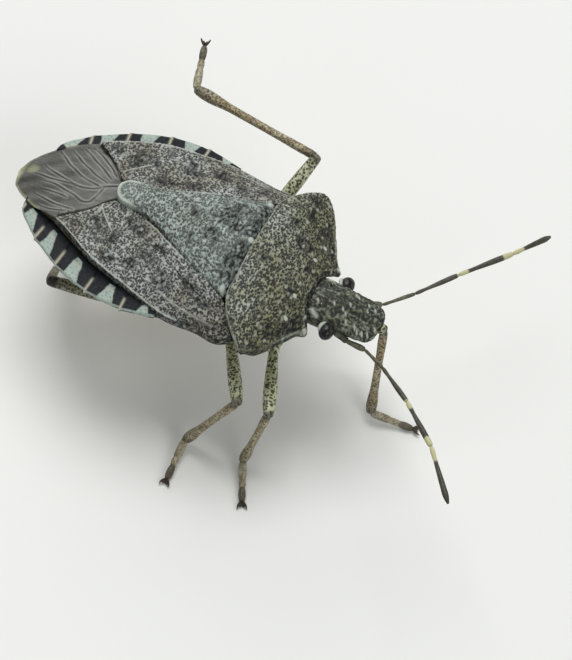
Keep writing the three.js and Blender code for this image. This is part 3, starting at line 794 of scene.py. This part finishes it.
smoke = membrane_finish()
membrane_rows = np.sin(np.linspace(0, np.pi / 2, MEMBRANE_ROWS))
for side_name, sign in SIDES.items():
    membrane_end = TAIL + 0.01 * (1 + sign)
    membrane_x = MEMBRANE_FRONT + (membrane_end - MEMBRANE_FRONT) * membrane_rows
    inner = -OVERLAPS[side_name](membrane_x)
    outer = np.where(membrane_x < WING_TIP, membrane_edge(membrane_x), seam(membrane_x) + 0.2)
    outer = np.maximum(outer, inner + 0.05)
    rings, below = plate(
        (membrane_x, sign * inner), (membrane_x, sign * outer),
        lambda x, y: membrane_top(x, y, MEMBRANE_DEPTHS[side_name]),
        MEMBRANE_GRAIN, MEMBRANE_BEVEL, MEMBRANE_THICKNESS,
    )
    x, y = rings[..., 0], rings[..., 1]
    clear = np.max([
        0.7 * held(1 - (membrane_edge(x) - np.abs(y)) / 0.14) * (x < -7.9),
        held((-9.3 - x) / 0.2),
        0.8 * spots(x, y, [(-9.05, 0.15, 0.2, 0.18)], 0.5),
    ], 0)
    membrane = piece(
        f"membrane_film_{side_name}", [rings], smoke,
        vein=along_veins(x, y, 0, 0.024), flank=along_veins(x, y, 0.065, 0.03), clear=clear,
    )
    fixed(membrane, "membrane", f"membrane_{side_name}")


# The connexivum: the flat rim of the abdomen that shows beside the wings, one hard band with a joint and a
# small tooth at the end of each segment. Each segment is blue-black with a mint-white patch in its middle.
RIM_FRONT = -2.0
RIM_REAR = -8.62
RIM_ROWS = 340
RIM_TOP_POINTS = 40
RIM_THICKNESS = 0.1
RIM_BEVEL = 0.07
JOINT_DEPTH = 0.03
TOOTH = 0.08
RIM_SHIFTS = {"left": -0.16, "right": 0}  # the left joints lie a little further back than the right ones
# each joint's outer and inner end, and each pale patch's front and rear edge
SEGMENT_JOINTS = [(-3.3, -3.3), (-4.83, -4.71), (-6.34, -6.18), (-7.57, -7.38), (-8.58, -8.5)]
PALE_PATCHES = [(-2.21, -2.74), (-3.66, -4.30), (-5.25, -5.92), (-6.68, -7.27), (-7.75, -8.42)]
abdomen_edge = through(
    (-8.95, 0.75), (-8.6, 1.65), (-8, 2.35), (-7, 3.1), (-5.7, 3.78), (-4.4, 4.12), (-3.3, 4.15),
    (-1.6, 3.85), (0, 3.72), (1, 3.85),
)
belly_depth = through(
    (-8.95, 0.35), (-8, 1.05), (-6.6, 1.65), (-4.5, 1.98), (-2, 2.0), (0.6, 1.98), (1.8, 1.72), (2.4, 1.45),
    (2.75, 1.05), (2.9, 0.6),
)
belly_rim = through((-9, -0.25), (-7, -0.38), (-2, -0.35), (1, -0.1), (1.9, -0.2), (2.9, -0.55))


def belly(x, y, half_width):
    """The underside: a bowl that hangs from the body's side edges."""
    inside = np.maximum(0, 1 - (y / half_width) ** 2)
    return belly_rim(x) - belly_depth(x) * inside ** 0.9


def rim_outer(x, shift):
    """The abdomen's edge, with a small tooth just ahead of each joint."""
    past = [x - shift - joint for joint, _ in SEGMENT_JOINTS]
    return abdomen_edge(x) + sum(TOOTH * np.exp(-np.maximum(run, 0) / 0.12) * (run > -0.03) for run in past)


def rim_inner(x):
    return np.minimum(np.where(x < WING_TIP, membrane_edge(x), wing_edge(x)) - 0.12, abdomen_edge(x) - 0.2)


def rim_finish():
    finish = Finish("rim_enamel", Specular_IOR_Level=0.18)
    light = finish.mark("light")
    cream = finish.mark("cream")
    fine = finish.mottle(0.12)
    pits = finish.specks(0.11)
    mint = finish.layered(
        tone(176, 188, 180),
        (tone(140, 156, 146), fine),
        (tone(92, 104, 98), (1 - pits.rising(0.15, 0.4)) * 0.6),
    )
    colour = finish.layered(
        tone(14, 18, 21),
        (tone(32, 38, 43), fine.rising(0.4, 0.7)),
        (mint, (light + (fine - 0.5) * 0.35).rising(0.25, 0.75)),
        (tone(192, 186, 166), cream),
    )
    finish.paint(Base_Color=colour, Roughness=0.5 + 0.15 * fine)
    finish.relief(fine - (1 - pits.rising(0.1, 0.3)), 0.012)
    return finish.material


enamel = rim_finish()
rim_share = np.concatenate([np.linspace(0, 1, RIM_TOP_POINTS), np.linspace(0.99, 0.02, 10)])
over = np.arange(len(rim_share)) < RIM_TOP_POINTS
for side_name, sign in SIDES.items():
    x = np.linspace(RIM_FRONT, RIM_REAR, RIM_ROWS)[:, None] + 0 * rim_share
    along = x - RIM_SHIFTS[side_name]
    share = rim_share + 0 * x
    outer = rim_outer(x, RIM_SHIFTS[side_name])
    y = rim_inner(x) + (outer - rim_inner(x)) * share
    off_joint = np.full_like(x, np.inf)
    for outer_joint, inner_joint in SEGMENT_JOINTS:
        slant = outer_joint + (inner_joint - outer_joint) * (1 - share)
        off_joint = np.minimum(off_joint, np.abs(along - slant))
    light = np.zeros_like(x)
    for front_edge, rear_edge in PALE_PATCHES:
        middle = (front_edge + rear_edge) / 2 + 0.04 * (1 - share)
        narrowing = 0.25 * (1 - share) + 0.012 * np.sin(9 * y + 7 * front_edge)
        reach = (front_edge - rear_edge) / 2 - narrowing
        light = np.maximum(light, held((reach - np.abs(along - middle)) / 0.12 + 0.5))
    top = 0.02 + 0.14 * (1 - share) - eased(outer - y, RIM_BEVEL) - JOINT_DEPTH * bump(off_joint, 0.03)
    keel = np.maximum(belly(x, y, abdomen_edge(x) - 0.2) + 0.15, top - RIM_THICKNESS - 1.3 * (outer - y))
    z = np.where(over, top, np.minimum(keel, top - RIM_THICKNESS))
    edge_line = bump(outer - y - 0.01, 0.05) * over
    joint_stripe = bump(off_joint, 0.05) * over * held((share - 0.32) / 0.15)
    inner_streak = bump(share - 0.42, 0.07) * held(light * 2)
    # The pale patches stop short of the wing's edge, so the black ground shows there as a band of painted
    # shade under the wing.
    clear_of_wing_shade = held((y - wing_edge(np.maximum(x, WING_TIP)) + 0.1) / 0.08)
    light = light * np.where(x < WING_TIP, 1, clear_of_wing_shade) * (share > 0.2)
    rim = piece(
        f"connexivum_band_{side_name}", [np.stack([x, sign * y, z], -1)], enamel,
        light=np.maximum(light, 0.75 * edge_line),
        cream=np.maximum(0.85 * joint_stripe, 0.35 * inner_streak),
    )
    fixed(rim, "connexivum", f"connexivum_{side_name}")


# The body below: the abdomen's ringed underside and the thorax with its side plates, both of thin punctured
# cuticle, straw-coloured below with dark points. Painted shade darkens their side edges.
def underside_finish(name, ground, second, spacing):
    finish = Finish(name, Specular_IOR_Level=0.4)
    fine = finish.mottle(0.2)
    points = 1 - finish.specks(spacing).rising(0.16, 0.34)
    colour = finish.layered(
        ground,
        (second, finish.mottle(1.2).rising(0.35, 0.65)),
        (tone(58, 50, 40), points * 0.75),
        # dark breathing holes and ring grooves, and painted shade along the side edges
        (tone(30, 26, 22), finish.mark("stain")),
    )
    finish.paint(Base_Color=colour, Roughness=0.45 + 0.15 * fine)
    finish.relief(fine - points, 0.015)
    return finish.material


UNDER_POINTS = 110
ROOF_POINTS = 14
RING_DEPTH = 0.05
thorax_half = through(
    (-1.8, 3.45), (0, 3.35), (1, 3.4), (1.5, 3.35), (1.9, 3.05), (2.4, 2.35), (2.75, 1.7), (2.9, 1.1),
)


def abdomen_half(x):
    return abdomen_edge(x) - 0.3 - 0.15 * held((x + 2.8) / 0.8)


def trunk(name, body_x, half_width, lower_half, grooves, finish):
    """A body section, ringed and with breathing holes below, and with a plain roof under the wings."""
    share = np.concatenate([np.linspace(-1, 1, UNDER_POINTS), np.linspace(0.97, -0.97, ROOF_POINTS)])
    x = body_x[:, None] + 0 * share
    y = half_width(x) * share
    rings_cut = sum(RING_DEPTH * bump(x - place - 0.18 * (np.abs(y) / 3) ** 2, 0.05) for place in grooves)
    under = belly(x, y, lower_half) + rings_cut
    roof = np.minimum(wing_surface(x, y) - 0.55, belly_rim(x) + 0.9 - 1.6 * share ** 4)
    roof = np.minimum(roof, pronotum_top(np.maximum(x, 0), y) - 0.5)
    z = np.where(np.arange(len(share)) < UNDER_POINTS, under, np.maximum(roof, under + 0.05))
    off_row = np.abs(y) - 0.78 * half_width(x)
    breathing = sum(bump(np.hypot(x - place - 0.7, off_row), 0.09) for place in grooves)
    # A band along both side edges, below and on the roof, is darkened as painted shade under the overhanging
    # rim and wings.
    shaded = 0.7 * held((np.abs(share) - 0.86) / 0.08)
    stain = np.maximum(held(breathing) * 0.9 + 0.25 * (rings_cut > 0.03), shaded + 0 * x)
    return piece(name, [np.stack([x, y, z], -1)], finish, stain=stain)


straw = underside_finish("cuticle_belly", tone(176, 166, 132), tone(150, 141, 110), 0.16)
abdomen_x = np.linspace(-1.6, -8.85, 200)
abdomen = trunk(
    "abdomen_rings", abdomen_x, abdomen_half, abdomen_edge(abdomen_x)[:, None] - 0.2,
    [joint for joint, _ in SEGMENT_JOINTS], straw,
)
fixed(abdomen, "underside", "abdomen")

breast = underside_finish("cuticle_breast", tone(152, 148, 122), tone(122, 116, 90), 0.12)
thorax_x = np.linspace(2.9, -1.75, 150)
thorax = trunk(
    "thorax_plates", thorax_x, thorax_half, thorax_half(thorax_x)[:, None] + 0.08, [1.5, -0.3], breast,
)
fixed(thorax, "underside", "thorax")


# The head: a flattened capsule with a square front. A middle lobe lies between two cheek plates, which end
# level with it, and two small glassy simple eyes sit at its back. It is black with pale worm-like marks.
HEAD_TIP = 5.72
NECK = 2.75
HEAD_ROWS = 130
HEAD_TOP_POINTS = 100
HEAD_LOW_POINTS = 60
HEAD_ARCH = 0.42
MARGIN = 0.1
LOBE_GROOVE_DEPTH = 0.06
CHEEK_RIM_HEIGHT = 0.03
head_edge = through(
    (2.7, 0.92), (3, 0.96), (3.4, 0.96), (3.8, 0.94), (4.15, 0.91), (4.4, 0.9), (4.7, 0.93), (5.1, 0.94),
    (5.35, 0.89), (5.53, 0.76), (5.64, 0.55), (5.69, 0.35), (HEAD_TIP, 0.1),
)
head_crest = through(
    (2.7, 0.12), (3, 0.2), (3.6, 0.2), (4.3, 0.12), (5, -0.06), (5.5, -0.25), (HEAD_TIP, -0.42),
)
head_underside = through((2.7, -1.3), (3, -1.45), (4, -1.42), (4.8, -1.2), (5.4, -0.85), (HEAD_TIP, -0.58))
lobe_half = through((4.0, 0.3), (4.5, 0.24), (5.0, 0.22), (5.4, 0.2), (HEAD_TIP, 0.16))
# the marks that both sides share, as lines, and the short ones, each at its own place
STREAKS = [
    [(3.1, 0.16), (3.5, 0.2), (3.9, 0.3)],
    [(4.15, 0.36), (4.6, 0.34), (5.1, 0.32), (5.5, 0.3)],
    [(4.2, 0.62), (4.5, 0.6), (4.8, 0.66)],
    [(3.3, 0.75), (3.55, 0.62), (3.8, 0.66)],
    [(4.9, 0.55), (5.3, 0.56)],
]
BEHIND_EYE = [(3.14, 0.8), (3.24, 0.87), (3.36, 0.92)]
DASHES = [
    (3.19, -0.42), (3.8, -0.26), (4.19, -0.3), (4.35, -0.42), (4.36, 0.01), (4.37, 0.6),
    (4.5, 0.56), (4.48, -0.67), (4.86, -0.68), (5, -0.76), (5.2, -0.74), (5.4, -0.66),
    (5.02, 0.17), (4.96, 0.47), (5.26, 0.4), (5.56, -0.32),
]
DASH_LEAN = 0.46


def head_lobes(x, y):
    """The grooves beside the middle lobe and the raised outer rims of the cheek plates."""
    side = np.abs(y)
    grooves = LOBE_GROOVE_DEPTH * bump(side - lobe_half(x), 0.05)
    rims = CHEEK_RIM_HEIGHT * bump(head_edge(x) - side - 0.06, 0.06)
    return (rims - grooves) * held((x - 3.9) / 0.5)


head_share = np.concatenate([np.linspace(-1, 1, HEAD_TOP_POINTS), np.linspace(1, -1, HEAD_LOW_POINTS)])
head_over = np.arange(len(head_share)) < HEAD_TOP_POINTS
head_rows = np.sin(np.linspace(0, np.pi / 2, HEAD_ROWS))
x = (NECK + (HEAD_TIP - NECK) * head_rows)[:, None] + 0 * head_share
across = head_share + 0 * x
corner = np.sqrt(np.maximum(0, 1 - across ** 8))
y_top = across * head_edge(x)
top = head_crest(x) - HEAD_ARCH * y_top ** 2 + head_lobes(x, y_top) - (1 - corner) * MARGIN
margin = head_crest(x) - HEAD_ARCH * head_edge(x) ** 2 - MARGIN
low = (head_underside(x) + 0.3 * across ** 2) * corner + margin * (1 - corner)
y = np.where(head_over, y_top, y_top * (1 - 0.24 * (1 - np.abs(across) ** 4)))
z = np.where(head_over, top, np.minimum(low, margin))
side = np.abs(y)
broken = held(0.5 + np.sin(17 * x + 9 * y) * np.sin(29 * x - 13 * y + 1))
leaning = [(dash_x + DASH_LEAN * dash_y, dash_y, 0.04, 0.085) for dash_x, dash_y in DASHES]
pale = np.max([
    0.3 * broken * np.max([bump(off_path(x, side, streak), 0.03) for streak in STREAKS], 0),
    0.85 * bump(off_path(x, side, BEHIND_EYE), 0.07),
    0.75 * spots(x + DASH_LEAN * y, y, leaning, 0.5),
    0.4 * broken * bump(head_edge(x) - side - 0.03, 0.03) * (x > 4.4),
], 0) * head_over
blotch = 0.34 + 0.2 * bump(side - 0.2, 0.12) + 0.15 * spots(x, side, [(4.4, 0.5, 0.3, 0.2)], 0.6)
neck_shade = held((3.85 - x) / 0.3) * np.maximum(~head_over, np.abs(across) > 0.93)
head_finish = shell_finish("cuticle_head", tone(142, 146, 126), tone(90, 92, 68))
head = punctured(
    "head_capsule", np.stack([x, y, z], -1), head_finish, 0.4 * ~head_over, pale,
    spacing=0.096, fill=0.67, depth=0.026, stretch=(0.75, 1, 1), blotch=np.maximum(blotch, neck_shade),
)
fixed(head, "head", "head")


# The compound eyes and the simple eyes. A compound eye is a dark bulging cap of many small flat-sided
# lenses, set in the head's side; a simple eye is one glassy bead on the back of the head.
EYE_PLACE = {"left": np.array([3.78, 1.08, -0.42]), "right": np.array([3.94, -1.16, -0.46])}
EYE_RADIUS = np.array([0.285, 0.37, 0.29])
LENS_RISE = 0.004
BEAD_PLACE = np.array([3.38, 0.52, 0.13])
BEAD_RADIUS = 0.075
CAP = 0.8  # a round end's height, as a share of its radius
CAP_TURNS = np.array([0.03, 0.35, 0.75, 1.15])


def lenses():
    """A ball of flat-sided lenses, each a low frustum on its own cell."""
    inputs = {"Radius": "Vector", "Place": "Vector", "Rise": "Float", "Finish": "Material"}
    recipe, given = growth_tree("lenses", inputs)
    ball = recipe.node("GeometryNodeMeshIcoSphere", {}, {"Radius": 1.0, "Subdivisions": 5})
    cells = recipe.node("GeometryNodeDualMesh", {}, {0: ball})
    values = {"Geometry": cells, "Translation": given["Place"], "Scale": given["Radius"]}
    placed = recipe.node("GeometryNodeTransform", {}, values)
    values = {"Mesh": placed, "Offset Scale": given["Rise"]}
    raised = recipe.node("GeometryNodeExtrudeMesh", {"mode": "FACES"}, values)
    values = {"Geometry": raised, "Selection": Term(recipe, raised.socket.node.outputs["Top"]), "Scale": 0.7}
    domed = recipe.node("GeometryNodeScaleElements", {"domain": "FACE"}, values)
    return coated(recipe, domed, given["Finish"])


LENSES = lenses()
eye_finish = Finish("eye_lenses", Specular_IOR_Level=0.45, Coat_Weight=0.25, Coat_Roughness=0.1)
band = eye_finish.mottle(0.3, 2)
eye_finish.paint(
    Base_Color=eye_finish.blend(tone(14, 12, 13), tone(34, 23, 24), band.rising(0.4, 0.7)),
    Roughness=0.22 + 0.15 * band,
)
for side_name in SIDES:
    eye = shown(f"compound_eye_{side_name}", np.zeros((1, 3)), [], eye_finish.material)
    grown(
        eye, LENSES, Radius=tuple(EYE_RADIUS * MM), Place=tuple((datum + EYE_PLACE[side_name]) * MM),
        Rise=LENS_RISE * MM, Finish=eye_finish.material,
    )
    eye.data.shade_flat()
    fixed(eye, "eyes", f"eye_{side_name}")


def turned(start, end, profile, around=20, section=None, bow=(0, 0, 0), steps=60):
    """Cross-sections of a length turned about a line, profile being (share, radius) from start to end.
    The line may bow, and section(angle) may flatten or groove the round."""
    start = np.array(start, float)
    end = np.array(end, float)
    share = 0.5 - 0.5 * np.cos(np.linspace(0, np.pi, steps))
    radius = through(*profile)(share)
    line = start + (end - start) * share[:, None] + np.array(bow, float) * (4 * share * (1 - share))[:, None]
    axis = (end - start) / np.linalg.norm(end - start)
    upward = np.array([0, 0, 1.0]) if abs(axis[2]) < 0.9 else np.array([1.0, 0, 0])
    aside = np.cross(axis, upward)
    aside /= np.linalg.norm(aside)
    over = np.cross(aside, axis)
    angle = np.linspace(0, 2 * np.pi, around, endpoint=False)
    shape = np.ones(around) if section is None else section(angle)
    ring = np.cos(angle)[:, None] * aside + np.sin(angle)[:, None] * over
    return line[:, None] + radius[:, None, None] * shape[:, None] * ring


def rounded(profile, length):
    """A profile whose two ends are closed by round caps."""
    first, last = profile[0][1], profile[-1][1]
    rise = CAP * (1 - np.cos(CAP_TURNS)) / length
    low = first * CAP / length
    high = 1 - last * CAP / length
    start_cap = zip(first * rise, first * np.sin(CAP_TURNS))
    end_cap = zip(1 - last * rise, last * np.sin(CAP_TURNS))
    return [*start_cap, *((low + (high - low) * share, radius) for share, radius in profile), *end_cap]


bead_finish = Finish("simple_eye_glass", Specular_IOR_Level=0.6, Coat_Weight=0.6, Coat_Roughness=0.1)
bead_finish.paint(
    Base_Color=bead_finish.blend(tone(48, 36, 28), tone(78, 58, 44), bead_finish.mottle(0.08, 1)),
    Roughness=0.15 + 0.1 * bead_finish.mottle(0.05, 1),
)
bead_profile = rounded([(0, BEAD_RADIUS), (1, BEAD_RADIUS)], 1.8 * BEAD_RADIUS)
beads = []
for sign in SIDES.values():
    place = BEAD_PLACE * (1, sign, 1)
    top = place + (0, 0, 0.8 * BEAD_RADIUS)
    beads.append(turned(place - (0, 0, BEAD_RADIUS), top, bead_profile, 24, steps=24))
simple_eyes = piece("simple_eyes", beads, bead_finish.material)
fixed(simple_eyes, "eyes")


# The head's smaller parts, of the same cuticle: the stalks that the feelers sit on, low on the head's sides
# in front of the eyes, and a pale welt behind each eye.
STALK_PROFILE = [(0, 0.14), (0.7, 0.13), (1, 0.13)]
WELT_PROFILE = [
    (0, 0.008), (0.06, 0.035), (0.2, 0.058), (0.5, 0.078), (0.8, 0.058), (0.94, 0.035), (1, 0.008),
]
stalks = []
welts = []
for side_name, sign in SIDES.items():
    stalk_start = np.array([4.1, 0.82 * sign, -0.72])
    stalk_end = np.array([4.78, 0.96 * sign, -0.85])
    stalk_profile = rounded(STALK_PROFILE, np.linalg.norm(stalk_end - stalk_start))
    stalks.append(turned(stalk_start, stalk_end, stalk_profile, 24, steps=40))
    welt_start = EYE_PLACE[side_name] + (-0.14, -0.26 * sign, 0.2)
    welt_end = EYE_PLACE[side_name] + (-0.26, 0.2 * sign, 0.06)
    welts.append(turned(welt_start, welt_end, WELT_PROFILE, 20, bow=(-0.06, 0, 0.05), steps=40))
fixed(piece("feeler_stalks", stalks, head_finish, pit=0.5, pale=0.0, blotch=0.6), "head")
fixed(piece("eye_welts", welts, head_finish, pit=0.05, pale=0.9, blotch=0.0), "head")


# The beak: a slender jointed sheath that leaves the head in front and lies back along the breast.
BEAK_POINTS = [(5.02, -1.02), (3.75, -1.62), (2.2, -2.12), (0.7, -2.36), (-0.8, -2.5)]
beak_finish = Finish("beak_sheath", Specular_IOR_Level=0.5)
beak_fine = beak_finish.mottle(0.15, 3, (0.4, 1, 1))
beak_finish.paint(
    Base_Color=beak_finish.blend(tone(140, 122, 88), tone(86, 70, 48), beak_fine.rising(0.35, 0.7)),
    Roughness=0.35 + 0.15 * beak_fine,
)
beak_finish.relief(beak_fine, 0.01)
beak_parts = []
for index, (start, end) in enumerate(zip(BEAK_POINTS[:-1], BEAK_POINTS[1:])):
    thick = 0.21 - 0.03 * index
    start = np.array([start[0], 0, start[1]])
    end = np.array([end[0], 0, end[1]])
    profile = rounded([(0, thick), (0.5, thick * 0.86), (1, thick * 0.95)], np.linalg.norm(end - start))
    beak_parts.append(turned(start, end + (end - start) * 0.03, profile, 20))
beak = piece("beak_sheath", beak_parts, beak_finish.material)
fixed(beak, "beak", "rostrum")


# The legs: each hangs from a short hip joint and has a spindle-shaped thigh, a grooved shin and a foot of
# three lengths with two claws. Their cuticle is pale and densely speckled with dark points.
FLOOR_LEVEL = -WING_LEVEL
ANKLE = FLOOR_LEVEL + 0.42
TOE = FLOOR_LEVEL + 0.12
# hip, knee, ankle and toe
LEGS = {
    "front_left": [(1.9, 1, -2.17), (5.4, 1.61, -2.93), (6.03, -0.47, ANKLE), (7.72, -0.2, TOE)],
    "front_right": [(1.9, -1, -2.17), (3.17, -4.35, -2.43), (2.57, -4.78, ANKLE), (3.26, -6.3, TOE)],
    "middle_left": [(0.1, 1.2, -2.34), (0.61, 5.11, -1.7), (0.27, 4.96, ANKLE), (-0.15, 6.7, TOE)],
    "middle_right": [(0.1, -1.2, -2.34), (1.98, -4.67, -2.02), (0.2, -4.94, ANKLE), (0.28, -6.7, TOE)],
    "hind_left": [(-1.2, 1.35, -2.5), (0.38, 5.67, 0.17), (-4.97, 5.98, 0.81), (-5.5, 7.85, 1.06)],
    "hind_right": [(-1.2, -1.35, -2.52), (-6.76, -2.9, -2.12), (-7.73, 1.15, ANKLE), (-8.95, 2.68, TOE)],
}
HIP_PROFILE = [(0, 0.02), (0.06, 0.22), (0.2, 0.36), (0.45, 0.42), (0.72, 0.36), (0.92, 0.22), (1, 0.02)]
HIP_RING_PROFILE = [(0, 0.02), (0.08, 0.14), (0.3, 0.23), (0.6, 0.24), (0.88, 0.2), (1, 0.1)]
THIGH_PROFILE = [(0, 0.17), (0.2, 0.22), (0.5, 0.26), (0.75, 0.265), (0.92, 0.23), (1, 0.2)]
SHIN_PROFILE = [(0, 0.15), (0.08, 0.17), (0.3, 0.155), (0.7, 0.16), (1, 0.185)]
CLAW_PROFILE = [(0, 0.055), (0.5, 0.04), (0.9, 0.02), (1, 0.006)]
# where each length of a foot starts and ends along it, how thin and thick it is, and how dark
FOOT_LENGTHS = [(0, 0.5, 0.135, 0.16, 0.1), (0.42, 0.7, 0.12, 0.135, 0.1), (0.62, 1, 0.105, 0.145, 0.7)]
COVERED_SHADE = {"hind_right": 0.6}  # this thigh lies in the wings' shadow and is darker all along
OPEN_SHADE = 0.03


def leg_finish(name, ground, second, speck, amount, size):
    finish = Finish(name, Specular_IOR_Level=0.45)
    fine = finish.mottle(0.14)
    specks = 1 - finish.specks(size).rising(0.36, 0.6)
    colour = finish.layered(
        ground,
        (second, finish.mottle(0.5, 2).rising(0.35, 0.65)),
        (speck, specks * (amount + (fine - 0.5) * 0.8)),
        (tone(34, 28, 22), finish.mark("shade")),
    )
    finish.paint(Base_Color=colour, Roughness=0.38 + 0.2 * fine)
    finish.relief(fine - specks, 0.012)
    return finish.material


thigh_finish = leg_finish("leg_thigh", tone(202, 206, 172), tone(182, 184, 142), tone(40, 40, 31), 0.92, 0.11)
shin_finish = leg_finish("leg_shin", tone(176, 168, 138), tone(150, 136, 102), tone(60, 50, 36), 0.75, 0.085)
foot_finish = leg_finish("leg_foot", tone(184, 177, 152), tone(144, 132, 102), tone(60, 50, 38), 0.5, 0.08)
claw_finish = leg_finish("leg_claw", tone(72, 56, 40), tone(40, 31, 24), tone(20, 16, 14), 0.3, 0.12)


def grooved(angle):
    """A shin's section: rounded, with a shallow groove along its outer face."""
    return 1 - 0.16 * bump(np.angle(np.exp(1j * (angle - np.pi / 2))), 0.35) + 0.05 * np.cos(3 * angle)


def share_along(rings, length):
    """How far along its line each point of a turned length lies, as a share of a length."""
    middle = rings.mean(1)
    return np.linalg.norm(middle - middle[0], axis=1)[:, None] / length + 0 * rings[..., 0]


def on_floor(*parts):
    """The parts, with no point of them below the floor."""
    for part in parts:
        part[..., 2] = np.maximum(part[..., 2], FLOOR_LEVEL)
    return list(parts)


for name, joints in LEGS.items():
    hip, knee, ankle, toe = np.array(joints, float)
    outward = (knee - hip) * (1, 1, 0)
    joint = hip + (0, 0, -0.42) + 0.25 * outward / np.linalg.norm(outward)
    thigh_length = np.linalg.norm(knee - joint)
    thigh_way = (knee - joint) / thigh_length
    hips = piece(f"hip_{name}", [
        turned(hip + (0, 0, 0.5), joint - (0, 0, 0.08), HIP_PROFILE, 28),
        turned(joint - 0.1 * thigh_way, joint + 0.42 * thigh_way, HIP_RING_PROFILE, 24, steps=50),
    ], thigh_finish, shade=0.0)
    fixed(hips, "legs", f"coxa_{name}")

    profile = rounded(THIGH_PROFILE, thigh_length)
    rings = turned(joint + 0.3 * thigh_way, knee + 0.12 * thigh_way, profile, 28, steps=110)
    share = share_along(rings, thigh_length)
    dark = 0.75 * bump(share - 0.94, 0.045) + COVERED_SHADE.get(name, OPEN_SHADE)
    thigh = piece(f"thigh_{name}", [rings], thigh_finish, shade=held(dark))
    fixed(thigh, "legs", f"femur_{name}")

    shin_length = np.linalg.norm(ankle - knee)
    shin_end = ankle + 0.06 * (ankle - knee) / shin_length
    rings = turned(knee, shin_end, rounded(SHIN_PROFILE, shin_length), 28, grooved, steps=110)
    share = share_along(rings, shin_length)
    dark = 0.65 * bump(share - 0.03, 0.06) + 0.55 * bump(share - 0.98, 0.12)
    shin = piece(f"shin_{name}", [rings], shin_finish, shade=held(dark))
    fixed(shin, "legs", f"tibia_{name}")

    run = toe - ankle
    foot_length = np.linalg.norm(run)
    foot_parts = []
    shades = []
    for start, end, thin, thick, shade in FOOT_LENGTHS:
        profile = rounded([(0, thin), (0.6, thick), (1, thick * 0.85)], (end - start) * foot_length)
        foot_parts.append(turned(ankle + run * start, ankle + run * end, profile, 20, steps=40))
        shades.append(np.full(foot_parts[-1][..., 0].size, shade))
    foot = piece(f"foot_{name}", on_floor(*foot_parts), foot_finish, shade=np.concatenate(shades))
    fixed(foot, "feet", f"tarsus_{name}")

    ahead = run / foot_length
    aside = np.cross(ahead, (0, 0, 1))
    aside /= np.linalg.norm(aside)
    pad_profile = rounded([(0, 0.05), (1, 0.06)], 0.24)
    claws = []
    for sign in SIDES.values():
        bow = 0.05 * sign * aside + (0, 0, 0.07)
        tip = toe + 0.34 * ahead + 0.18 * sign * aside
        claws.append(turned(toe, tip, CLAW_PROFILE, 12, bow=bow, steps=24))
        pad_tip = toe + 0.22 * ahead + 0.1 * sign * aside
        claws.append(turned(toe, pad_tip, pad_profile, 12, steps=16))
    fixed(piece(f"claws_{name}", on_floor(*claws), claw_finish, shade=0.0), "feet")


# The feelers: five thin lengths each, the first short and stout. The fourth is pale at both ends and the
# fifth at its root, and the rest is speckled brown to black with a fine bloom.
FEELERS = {
    "left": [
        (4.68, 1, -0.88), (5.26, 1.22, -0.85), (6.14, 2.31, -0.9),
        (7.32, 3.71, -0.62), (8.83, 5.43, -0.36), (9.66, 7.5, -1.24),
    ],
    "right": [
        (4.72, -0.96, -0.84), (5.5, -0.96, -0.9), (6.49, -1.72, -0.39),
        (7.97, -2.81, -0.23), (9.61, -4.4, 0.06), (11.13, -6.23, -0.23),
    ],
}
# each length's thin and thick radius, how dark it is, where it is pale in shares of its length, and how far
# its end narrows
FEELER_LENGTHS = [
    (0.09, 0.12, 0.3, [], 0.85),
    (0.055, 0.08, 0.42, [], 0.85),
    (0.06, 0.1, 0.72, [(0.95, 1.2)], 0.85),
    (0.07, 0.115, 0.78, [(-0.2, 0.19), (0.8, 1.2)], 0.85),
    (0.07, 0.11, 0.75, [(-0.2, 0.28)], 0.5),
]

feeler_finish = Finish("feeler_cuticle", Specular_IOR_Level=0.4)
feeler_fine = feeler_finish.mottle(0.1)
feeler_specks = 1 - feeler_finish.specks(0.1).rising(0.25, 0.5)
feeler_base = feeler_finish.layered(
    tone(122, 120, 94),
    (tone(92, 86, 64), feeler_finish.mottle(0.4, 2).rising(0.35, 0.65)),
    (tone(44, 40, 32), feeler_specks * 0.6),
    (tone(36, 34, 31), feeler_finish.mark("shade")),
    (tone(184, 180, 140), feeler_finish.mark("band")),
)
feeler_finish.paint(Base_Color=feeler_base, Roughness=0.42 + 0.2 * feeler_fine)
feeler_finish.relief(feeler_fine, 0.012)

for side_name, joints in FEELERS.items():
    joints = np.array(joints)
    for index, (start, end, sizes) in enumerate(zip(joints[:-1], joints[1:], FEELER_LENGTHS), 1):
        thin, thick, shade, pale_bands, tip = sizes
        length = np.linalg.norm(end - start)
        outline = [(0, thin), (0.25, thin * 1.1), (0.7, thick), (0.9, thick * 0.97), (1, thick * tip)]
        rings = turned(start, end, rounded(outline, length), 20, steps=90)
        share = share_along(rings, length)
        band = np.zeros_like(share)
        for low, high in pale_bands:
            band = np.maximum(band, held((share - low) / 0.03) * held((high - share) / 0.03))
        feeler = piece(f"feeler_{side_name}_{index}", [rings], feeler_finish.material, shade=shade, band=band)
        fixed(feeler, "feelers", f"antenna_{side_name}_{index}")


low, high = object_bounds()
